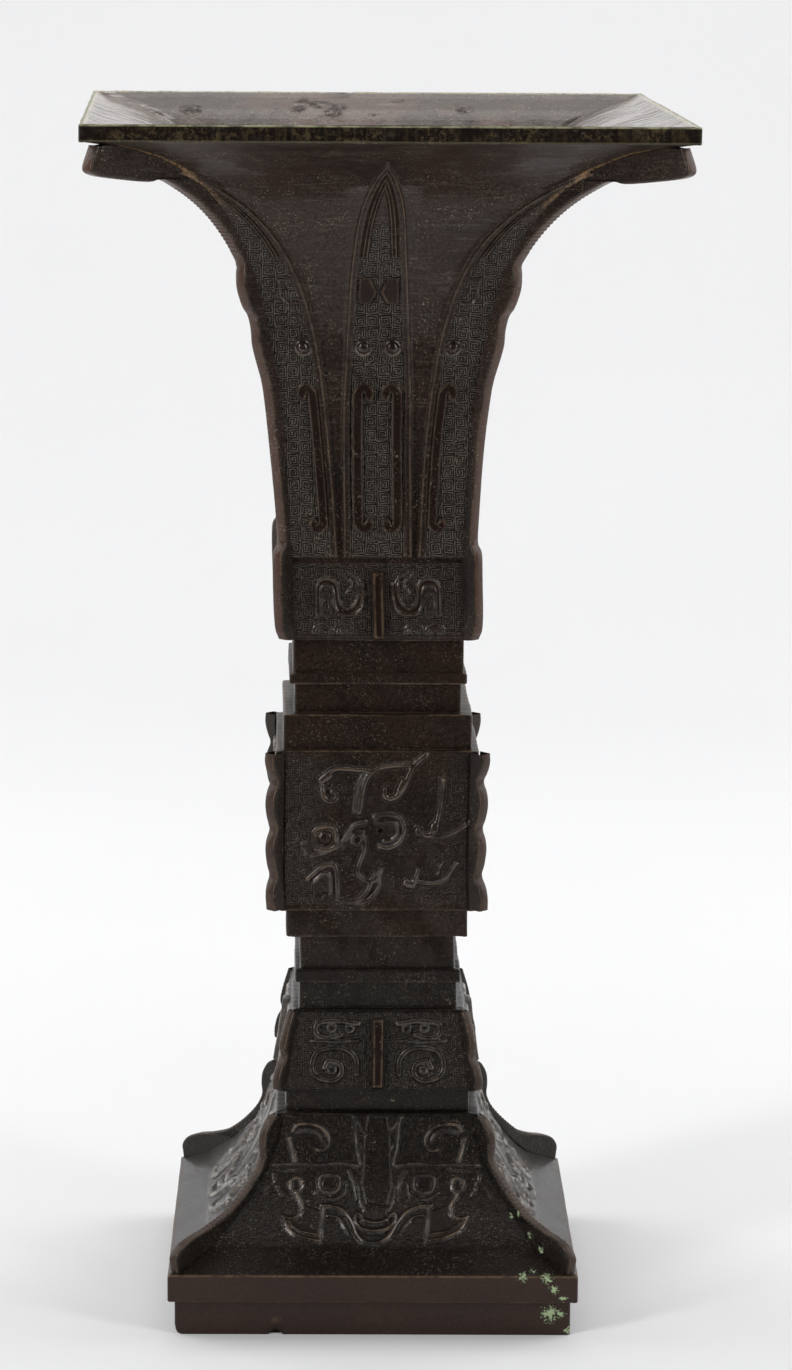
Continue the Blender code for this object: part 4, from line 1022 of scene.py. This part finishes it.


# %% [markdown]
# On the outside the colours lie over each other from the darkest to the palest. Among them are
# painted shade in the grooves of the square spirals and painted highlights on their ridges and on
# the rubbed raised lines. The shine is a thin clear coat, which is stronger on the rubbed and
# highlighted lines and weaker in the grounds.

# %% The outside
def bronze_skin(name):
    made = Shader(name)
    worn, ground, dark, side = [made.layer(layer) for layer in ("worn", "ground", "dark", "side")]
    cloud = made.noise(26.0, 4.0)
    fine = made.noise(850.0, 3.0, 0.6)
    grit = made.noise(1900.0, 2.0, 0.65)
    # Zones by height, from the plinth up to the lip
    low = 1.0 - made.above(PLINTH_TOP, PLINTH_TOP + 0.4)
    lower = made.above(PLINTH_TOP, PLINTH_TOP + 0.8) * (1.0 - made.above(110.0, 122.0))
    deep = 1.0 - made.above(NECK_BASE - 0.7, NECK_BASE + 0.3)
    bare_neck = made.above(270.0, 310.0) * (1.0 - ground)
    upper = made.above(383.0, 392.0)
    lip = made.above(LIP_BASE, LIP_BASE + 0.6)
    made.base = made.mix(cloud.step(0.40, 0.62), PATINA, PATINA_WARM)
    made.paint(PURPLE, low * 0.65 + bare_neck * 0.45)
    brushed = made.noise(1.0, 3.0, 0.65, (110.0, 110.0, 1300.0))
    made.paint(GREY, brushed.step(0.50, 0.70) * bare_neck * 0.4)
    # Darker from the plinth top to about 120 mm, and a little all below the neck
    made.paint(DARK_TONE_AND_SHADE, lower * 0.75 + deep * 0.12)
    dusty = grit.step(0.50, 0.70) * (0.20 + fine.step(0.4, 0.7) * 0.45)
    made.paint(GREY, dusty * (1.0 - low * 0.35 - deep * 0.35))
    made.paint(DARK_TONE_AND_SHADE, (1.0 - fine.step(0.34, 0.50)) * (0.7 - low * 0.5))
    lines = thunder(made)
    # Painted shade in the grooves of the square spirals
    made.paint(DARK_TONE_AND_SHADE, ground * (0.5 - lines * 0.5) * 0.9)
    # A broken painted highlight on the spirals' ridges
    ridge = lines.step(-0.1, 0.8) * (0.25 + fine.step(0.35, 0.60) * 0.75)
    made.paint(SPIRAL_HIGHLIGHT, ground * ridge * (0.95 - deep * 0.5))
    # Dark tops of bars, plates and knobs, and painted shade in the pits and the chip of the base
    made.paint(BAR_DARK, dark * 0.95)
    made.paint(REDDISH, made.layer("red"))
    mottle = made.noise(1.0, 4.0, 0.7, (110.0, 110.0, 330.0)).step(0.50, 0.70)
    made.paint(GREY, mottle * upper * 0.45)
    cluster = made.noise(80.0, 2.0).step(0.40, 0.62)
    speck = made.noise(1500.0, 1.0).step(0.62, 0.70) * cluster
    made.paint(DUST, speck * (0.45 + upper * 0.45 - low * 0.25 - deep * 0.2))
    patchy = made.noise(210.0, 3.0, 0.65).step(0.38, 0.58)
    rub_and_glint = (worn * (0.15 + patchy * 0.75)).clamp()
    # Rubbed bronze on raised lines and edges, which is also a painted highlight there
    made.paint(RUBBED_AND_GLINT, rub_and_glint)
    made.paint(GOLD_DUST, made.layer("dust") * fine.step(0.34, 0.56) * 0.9)
    # The lip: dark, with a brown crust in streaks and blotches, and pale along both its edges
    streak = made.noise(1.0, 4.0, 0.7, (700.0, 700.0, 60.0)).step(0.50, 0.62)
    blotch = made.noise(520.0, 4.0, 0.7).step(0.50, 0.60)
    made.paint(DARK_TONE_AND_SHADE, lip * 0.8)
    made.paint(MOSS, lip * (streak * 0.22 + 0.62 * blotch * (0.2 + cluster * 0.8)))
    top_edge = made.above(TOP - 0.75, TOP - 0.4) * (0.35 + patchy * 0.65)
    low_edge = lip * (1.0 - made.above(LIP_BASE + 0.6, LIP_BASE + 0.9))
    made.paint(PALE_EDGE, top_edge + 0.2 * low_edge)
    crust = green(made)
    made.paint(VERDIGRIS, crust)
    made.set("Base Color", made.base)
    made.set("Metallic", (0.05 + rub_and_glint * 0.25 - crust).clamp())
    made.set("Roughness", (0.24 + fine * 0.16 + cloud * 0.08 + crust * 0.4).clamp())
    made.set("Specular IOR Level", 0.2)
    made.set("Specular Tint", WARM_GLOSS)
    streaks = made.noise(1.0, 3.0, 0.7, (900.0, 900.0, 30.0)).step(0.42, 0.60)
    shine = 0.10 - ground * 0.015 - dark * 0.06 - deep * 0.035 - lower * 0.02 - lip * 0.04 - crust
    shine = shine + worn * 0.2 + made.layer("gloss") * (0.05 + patchy * 0.32)
    made.set("Coat Weight", (shine + side * (0.02 + lower * 0.25 - streaks * 0.18)).clamp())
    made.set("Coat Roughness", 0.10)
    made.set("Coat IOR", 1.9)
    relief = lines * ground * 0.8 + (fine - 0.5) * 0.6 + (grit - 0.5) * 0.6 + crust * 0.8
    made.bump(relief, 0.00018, 0.8)
    return made.material


# %% [markdown]
# Inside, the metal is redder and left as cast.

# %% The inside
def inner_skin(name):
    """The inside of the mouth and the foot: rough as cast, brown and grey, with pits."""
    made = Shader(name)
    cloud = made.noise(30.0, 5.0, 0.6)
    fine = made.noise(700.0, 4.0, 0.65)
    pits = made.noise(160.0, 3.0, 0.7)
    made.base = made.mix(cloud.step(0.42, 0.6), CAST_BROWN, CAST_RED)
    made.paint(GREY, fine.step(0.48, 0.68) * 0.25)
    made.paint(DUST, made.noise(1200.0, 1.0).step(0.66, 0.73) * 0.8)
    made.paint(DARK_TONE_AND_SHADE, 1.0 - pits.step(0.27, 0.33))
    scrape = made.noise(1.0, 3.0, 0.6, (500.0, 60.0, 500.0)).step(0.57, 0.66)
    made.paint(DARK_TONE_AND_SHADE, scrape * 0.45)
    made.paint(PALE_EDGE, made.above(TOP - 0.7, TOP - 0.2) * fine.step(0.35, 0.5))
    rough = made.layer("rough").step(0.02, 0.5)
    crags = made.noise(330.0, 4.0, 0.7)
    made.paint(DARK_TONE_AND_SHADE, rough * (1.0 - crags.step(0.42, 0.52)) * 0.85)
    made.paint(DUST, rough * crags.step(0.56, 0.62) * 0.5)
    made.set("Base Color", made.base)
    made.set("Metallic", 0.05)
    made.set("Roughness", (0.22 + fine * 0.22).clamp())
    made.set("Specular IOR Level", 0.4)
    made.set("Specular Tint", WARM_GLOSS)
    # The slopes at the left and the right shine in streaks that run down into the well
    side = (made.axis(0).math("ABSOLUTE") - made.axis(1).math("ABSOLUTE")).step(-0.001, 0.001)
    fall = made.noise(1.0, 3.0, 0.7, (60.0, 420.0, 60.0)).step(0.50, 0.62)
    sheen = 0.05 + cloud * 0.35 + side * (0.75 - fall * 1.1) - rough * (1.0 - crags.step(0.40, 0.56)) * 0.5
    made.set("Coat Weight", sheen.clamp())
    made.set("Coat Tint", WARM_GLOSS)
    made.set("Coat Roughness", 0.15)
    relief = (fine - 0.5) * 0.8 + pits.step(0.25, 0.4) * 0.8 + (cloud - 0.5) * 2.0 - scrape * 0.4
    made.bump(relief + rough * (crags - 0.5) * 9.0, 0.0003, 0.7)
    return made.material


skin_material = bronze_skin("bronze_skin")
inner_material = inner_skin("bronze_inner")

# %% [markdown]
# The front gets the finest sheets. The other faces keep the same drawing with fewer rows and
# columns, since they are the ones the photograph sees at a slant or not at all.

# %% Making the sheets
STOREYS = [
    ("foot", FOOT_RUNS, foot_carving, (50, 16, 42), False),
    ("waist", WAIST_RUNS, waist_carving, (44, 12, 46), False),
    ("neck", NECK_RUNS, neck_carving, (38, 6, 54), True),
]
SIDES = ["front", "right", "back", "left"]
WEAR_AND_GLINT_REACH = 3
# Level edges that are rubbed bright and carry a painted highlight line: (height, how much)
EDGE_LINES = [
    (PLINTH_TOP, 0.6), (BASE_TOP, 0.25), (110.5, 0.3), (126.8, 0.5), (BOX_BASE, 0.4), (BOX_TOP, 0.45),
    (202.5, 0.55), (212.5, 0.6), (BAND_BASE, 0.4),
]
OTHER_SIDES = 2.0  # spacing of the quads of the other three sides, as a multiple of the front's
for turn, side in enumerate(SIDES):
    coarse = 1.0 if turn == 0 else OTHER_SIDES
    for storey, runs, carve, counts, blades in STOREYS:
        rows = rows_of(runs, coarse)
        used = tuple(max(4, round(n / coarse)) for n in counts)
        points, layers, plan = sheet_points(rows, used, carve, turn, turn > 0, blades)
        proud = standing_out(points, WEAR_AND_GLINT_REACH)
        # Raised points and level edges: wear with a painted highlight line
        edge_wear_and_glint = 0.55 * smooth((proud - 0.22) / 0.5) * smooth((points[..., 2] - 3.0) / 3.0)
        for level, share in EDGE_LINES:
            arris = np.exp(-((points[..., 2] - level) / 0.3) ** 2) * smooth(proud / 0.12)
            edge_wear_and_glint = np.maximum(edge_wear_and_glint, share * arris)
        layers["worn"] = np.maximum(layers["worn"], edge_wear_and_glint)
        layers["red"] = np.zeros(proud.shape)
        layers["side"] = np.full(proud.shape, float(turn in (1, 3)))
        place(sheet_mesh(f"{storey}_{side}", points, layers, plan), skin_material)


# %% [markdown]
# Inside, the neck is an open well down to a floor at the foot of the waist, and the foot is
# hollow from below. Both were left as cast, so they are rougher and duller than the outside.

# %% The well and the hollow foot
WALL = 4.4
HOLLOW = np.array([
    (4.0, 114.9), (21.4, 114.9), (21.4, 101.4), (26.4, 78.6), (26.4, 66.8), (29.8, 64.8), (32.8, 51.0),
    (38.6, 38.0), (46.0, 29.6), (53.6, 23.6), (61.1, 11.8), (61.1, 0.0),
])


def inner_neck():
    """The curve of the neck, one wall further in, from the lip down."""
    line = bezier(NECK_BEZIER, 40)
    d = np.gradient(line, axis=0)
    normal = np.stack([-d[:, 1], d[:, 0]], axis=1) / np.hypot(*d.T)[:, None]
    moved = line + WALL * normal
    return moved[(moved[:, 1] < 398.6) & (moved[:, 0] < 91.5)][::-1]


WELL = np.concatenate([
    [(95.0, TOP)], inner_neck(),
    [(23.2, 202.5), (29.1, 180.0), (29.1, 147.4), (21.4, 126.8), (21.4, 119.4), (4.0, 119.4)],
])


# Rough lumps and pits on the back slope of the mouth: (x, half width, radius, height)
MOUTH_LUMPS = [(-22.5, 86, 5, 1.1), (-17, 83, 6.5, 1), (-10.5, 81, 4.5, 0.9), (-25, 79, 4, 0.6),
               (-13, 76.5, 5, 0.8), (10, 86.5, 3.4, 1), (-40.4, 82, 1.5, -1), (1.4, 75, 1.5, -1),
               (-43, 87, 1.2, -0.7), (33, 80, 5, 0.4), (-62, 78, 6, 0.4)]


def lining(name, profile, count, seed, lumps_at=()):
    length = lengths_of(profile)
    fine = np.arange(0, 75.0, 180.0 / count)
    stations = np.unique(np.concatenate([length, fine, np.arange(75.0, length[-1], 6.0)]))
    rows = along(profile, stations)
    u = np.linspace(-1, 1, count + 1)[:-1]
    around = []
    roughness = []
    for turn in range(4):
        x = rows[:, :1] * u
        y = -rows[:, :1] * np.ones(count)
        z = rows[:, 1:] + x * 0
        bumps = ripple(x + 40 * turn, z, seed) * 3.0
        y = y - np.where(np.abs(u) < 0.97, bumps, 0.0) * (z > 1) * (z < 396)
        rough = np.zeros(x.shape)
        for cx, half, radius, height in lumps_at if turn == 2 else ():
            reach = smooth(1.0 - np.hypot(x + cx, -y - half) / radius) * (z > 380)
            z = z + 0.6 * height * reach
            rough = np.maximum(rough, reach * (height > 0))
        roughness.append(rough)
        around.append(about_axis(np.stack([x, y, z], axis=-1), turn * math.pi / 2))
    points = rim_dents(warped(np.concatenate(around, axis=1)))
    layers = {"rough": np.concatenate(roughness, axis=1)}
    place(sheet_mesh(name, points, layers, points[..., [0, 2]], closed=True), inner_material)


lining("well", WELL, 108, 5, MOUTH_LUMPS)
lining("foot_hollow", HOLLOW, 40, 6)

# %% [markdown]
# Flanges run up the four corners. Each is a flat plate on the diagonal, drawn by its edge line.
# A row of crests is (share of the drop from the flange's top, share of its reach).

# %% Edge lines of the flanges
HOOK_CRESTS = [(0, 0.15), (0.13, 1), (0.33, 0.95), (0.42, 0.35), (0.56, 0.35), (0.7, 0.75), (0.86, 0.55)]
BOX_CRESTS = [(0, 0.9), (0.06, 1), (0.13, 0.6), (0.185, 0), (0.25, 0.65), (0.33, 0.85), (0.42, 0.55),
              (0.485, 0), (0.55, 0.6), (0.62, 0.75), (0.72, 0.45), (0.785, 0), (0.85, 0.65), (0.92, 0.85),
              (1, 0.75)]
BAND_CRESTS = [(0, 0.1), (0.25, 0.65), (0.47, 0.85), (0.56, 0), (0.7, 0.8), (0.88, 1), (1, 0.6)]
FOOT_CRESTS = [(0, 0.2), (0.14, 0.7), (0.5, 1), (0.8, 0.7), (1, 0.15)]
# Heights are spread by a hair, so that a level ledge keeps both its ends
PROFILE = np.concatenate(FOOT_RUNS[1:] + WAIST_RUNS + NECK_RUNS[:-1])
PROFILE[:, 1] += 1e-6 * np.arange(len(PROFILE))


def half_at(z):
    return np.interp(z, PROFILE[:, 1], PROFILE[:, 0])


def tilt_at(z):
    d = (half_at(z + 0.2) - half_at(z - 0.2)) / 0.4
    across = Vector((1.0, -d * ROOT2))
    return across.normalized()


def corner_point(z, reach):
    tilt = tilt_at(z)
    return (half_at(z) * ROOT2 + reach * tilt.x, z + reach * tilt.y)


def lobes(low, high, crests, reach, dip):
    return [corner_point(high + (low - high) * share, dip + (reach - dip) * swell)
            for share, swell in crests]


def run_of_edge(low, high, low_reach, high_reach, steps):
    return [corner_point(high + (low - high) * i / steps, high_reach + (low_reach - high_reach) * i / steps)
            for i in range(steps + 1)]


def neck_edge():
    """The edge of a neck flange, with the beak that reaches out under the lip."""
    lip = LIP_HALF * ROOT2
    setback = 2.2 * ROOT2
    under = LIP_BASE - 9.7
    throat = lip - 20.7 * ROOT2
    edge = [
        (lip - 2.0 * setback, 393.3), (lip - setback, 386.6), (lip - 1.3 * setback, under),
        (lip - 2.7 * setback, under - 1.3), (throat, under - 4.0),
        (throat - 1.25 * setback, under - 3.1), (throat - 2.5 * setback, under - 3.5),
    ]
    edge += run_of_edge(352.7, 380.2, 1.2, 4.2, 10)
    edge += lobes(316.7, 351.2, HOOK_CRESTS, 4.9, 2.3)
    edge += run_of_edge(259.8, 313.7, 1.5, 2.3, 6)
    corner = BAND_HALF * ROOT2
    edge += [(corner + 3.3, 257.6), (corner + 3.7, NECK_BASE), (corner + 3.7, 231.9), (corner + 1.5, 227.8)]
    return edge


def foot_edge():
    edge = lobes(53.3, 66.3, FOOT_CRESTS, 4.1, 0.0)
    edge += run_of_edge(34.3, 49.8, 2.9, 0.4, 6)
    end = PLINTH_HALF * ROOT2 - 2.0
    edge += [(end - 13.5, 33.4), (end - 7.8, 32.1), (end - 2.7, 29.9), (end, 26.5), (end - 0.7, 23.3),
             (end - 1.3, 19.6)]
    return edge


def softened(line, rounds=2):
    """The line with its bends cut off twice, which makes round lobes of straight steps."""
    line = np.array(line, float)
    for _ in range(rounds):
        a, b = line[:-1], line[1:]
        cut = np.stack([0.78 * a + 0.22 * b, 0.22 * a + 0.78 * b], axis=1).reshape(-1, 2)
        line = np.concatenate([line[:1], cut, line[-1:]])
    return line


# %% [markdown]
# The edge line is swept across the flange's thickness, and the flange set at its corner.

# %% Sweeping the flanges
EDGE_STEP = 0.42
TOOTH_PITCH, TOOTH_DEPTH = 1.7, 0.32
# Columns of a flange's side near its edge: (back from the edge, in from the side, how much wear and painted
# highlight)
EDGE_COLUMNS = [(0.7, 0.0, 0.0), (0.28, 0.09, 0.12), (0.08, 0.32, 0.40), (0.0, 0.75, 0.08)]
OUTERMOST = slice(7, 9)


def flange_points(edge, thickness, teeth):
    """A grid over both sides of a flange and round its edge, with how much wear and painted highlight each
    point has.
    """
    line = softened(edge)
    length = lengths_of(line)
    count = int(length[-1] / EDGE_STEP)
    stations = np.linspace(0, length[-1], count)
    line = along(line, stations)
    d = np.gradient(line, axis=0)
    outward = np.stack([-d[:, 1], d[:, 0]], axis=1) / np.maximum(np.hypot(*d.T), 1e-9)[:, None]
    for low, high in teeth:
        on = smooth((line[:, 1] - low) / 2) * smooth((high - line[:, 1]) / 2)
        saw = np.abs((stations / TOOTH_PITCH) % 1.0 - 0.5) * 2
        line = line - outward * (TOOTH_DEPTH * on * smooth(1.6 * (saw - 0.35)))[:, None]
    root_r = np.minimum(half_at(line[:, 1]) * ROOT2 - 1.6, line[:, 0] - 0.2)
    root = np.stack([root_r, line[:, 1]], axis=1)
    half = 0.5 * thickness
    inner = line - outward * EDGE_COLUMNS[0][0]
    part = [(root + (inner - root) * share, half, 0.0) for share in (0.0, 0.3, 0.6, 0.85)]
    part += [(line - outward * back, half - drop, value) for back, drop, value in EDGE_COLUMNS]
    part = [(point, -side, value) for point, side, value in part] + part[::-1]
    columns = [np.stack([point[:, 0], np.full(count, side), point[:, 1]], axis=-1)
               for point, side, _ in part]
    worn = [np.full(count, value) for _, _, value in part]
    return np.stack(columns, axis=1), np.stack(worn, axis=1)


# Name, edge line, thickness, heights between which the edge is toothed, share of the red metal
FLANGES = [
    ("neck", neck_edge(), 4.4, [(356.0, 379.5)], 0.75),
    ("box", lobes(137.1, 190.3, BOX_CRESTS, 3.6, 0.5), 4.4, [], 0.35),
    ("band", lobes(74.7, 100.9, BAND_CRESTS, 2.6, 0.4), 3.6, [], 0.35),
    ("foot", foot_edge(), 3.6, [(33.0, 50.0)], 0.35),
]
for turn, corner in enumerate(("front_right", "back_right", "back_left", "front_left")):
    for part, edge, thickness, teeth, red_share in FLANGES:
        points, worn = flange_points(edge, thickness, teeth)
        points = warped(about_axis(points, math.radians(-45.0 + 90.0 * turn)))
        layers = {name: np.zeros(worn.shape) for name in ("ground", "red", "dark", "dust", "side", "gloss")}
        layers["red"][:, OUTERMOST] = red_share
        layers["worn"] = worn
        place(sheet_mesh(f"flange_{corner}_{part}", points, layers, points[..., [0, 2]]), skin_material)


# %% [markdown]
# The vase stands on a plain pale floor that curves up behind it. The room behind the camera
# stays dark, because the front of the vase mirrors little light.

# %% The floor
FLOOR_HALF = 3.0
FLOOR_NEAR = -0.60
FLOOR_FAR = 1.6
FLOOR_BEND = 0.6
WALL_TOP = 3.0
bend = arc(FLOOR_FAR - FLOOR_BEND, FLOOR_BEND, FLOOR_BEND, FLOOR_BEND, 0.1 - math.pi / 2, 0.0)
profile = [(FLOOR_NEAR, 0.0), (FLOOR_FAR - FLOOR_BEND, 0.0)] + bend + [(FLOOR_FAR, WALL_TOP)]
verts = [(x, y, z) for y, z in profile for x in (-FLOOR_HALF, FLOOR_HALF)]
faces = [(2 * i, 2 * i + 1, 2 * i + 3, 2 * i + 2) for i in range(len(profile) - 1)]
floor_mesh = bpy.data.meshes.new("floor")
floor_mesh.from_pydata(verts, [], faces)
floor_mesh.polygons.foreach_set("use_smooth", [True] * len(faces))
floor = bpy.data.objects.new("floor", floor_mesh)
bpy.context.scene.collection.objects.link(floor)
paper = Shader("paper")
paper.set("Base Color", paper.mix(paper.noise(4.0, 2.0), (0.84, 0.84, 0.845, 1.0), (0.87, 0.87, 0.875, 1.0)))
paper.set("Roughness", 0.9)
paper.set("Specular IOR Level", 0.1)
# Its back lets everything through, so that the vase can be seen from behind and from below
back_side = paper.node("ShaderNodeNewGeometry", output="Backfacing")
clear = paper.node("ShaderNodeBsdfTransparent")
front_side = Value(paper.tree, paper.surface.outputs[0])
two_sided = paper.node("ShaderNodeMixShader", None, {0: back_side, 1: front_side, 2: clear})
two_sided.feed(paper.tree.nodes["Material Output"].inputs["Surface"], two_sided)
floor_mesh.materials.append(paper.material)

# %% [markdown]
# Two large boxes light the flanks, two narrow ones draw streaks on the carving, one from above
# and behind lights the mouth, and two wash the floor and the wall.

# %% The light
def soft_box(name, where, toward, width, height, power):
    light = bpy.data.lights.new(name, "AREA")
    light.shape = "RECTANGLE"
    light.size = width
    light.size_y = height
    light.energy = power
    lamp = bpy.data.objects.new(name, light)
    bpy.context.scene.collection.objects.link(lamp)
    lamp.location = where
    lamp.rotation_euler = (Vector(toward) - Vector(where)).to_track_quat("-Z", "Y").to_euler()
    return lamp


soft_box("left_box", (-1.3, 0.5, 0.75), (0, 0, 0.2), 1.1, 1.5, 13.5)
soft_box("right_box", (1.3, 0.5, 0.75), (0, 0, 0.2), 1.1, 1.5, 13.5)
soft_box("mouth_box", (0.0, 1.25, 1.9), (0, 0.1, 0.35), 1.6, 0.6, 7.5)
soft_box("left_strip", (-1.2, -1.0, 0.8), (0, 0, 0.2), 0.2, 1.4, 12.0)
soft_box("right_strip", (1.25, -0.9, 0.7), (0, 0, 0.2), 0.2, 1.2, 8.0)
soft_box("front_wash", (0.0, -0.95, 1.9), (0, -0.35, 0.0), 2.2, 0.6, 5.6)
soft_box("back_wash", (0.0, 0.3, 2.3), (0, 1.4, 0.3), 2.4, 0.8, 7.8)
world = bpy.data.worlds.new("room")
bpy.context.scene.world = world
world.use_nodes = True
world.node_tree.nodes["Background"].inputs["Color"].default_value = (0.9, 0.95, 1.0, 1.0)
world.node_tree.nodes["Background"].inputs["Strength"].default_value = 0.06
bpy.context.scene.view_settings.view_transform = "Standard"

# %% [markdown]
# Last come the checks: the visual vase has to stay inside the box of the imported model, and the
# file of sizes keeps both boxes for comparing.

# %% The end
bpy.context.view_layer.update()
weights = {p.name: len(p.data.loops) - 2 * len(p.data.polygons)
           for p in bpy.context.scene.objects if p.type == "MESH" and p.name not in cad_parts}
heaviest = max(weights, key=weights.get)
print("heaviest piece", heaviest, weights[heaviest], "triangles, all pieces", sum(weights.values()))
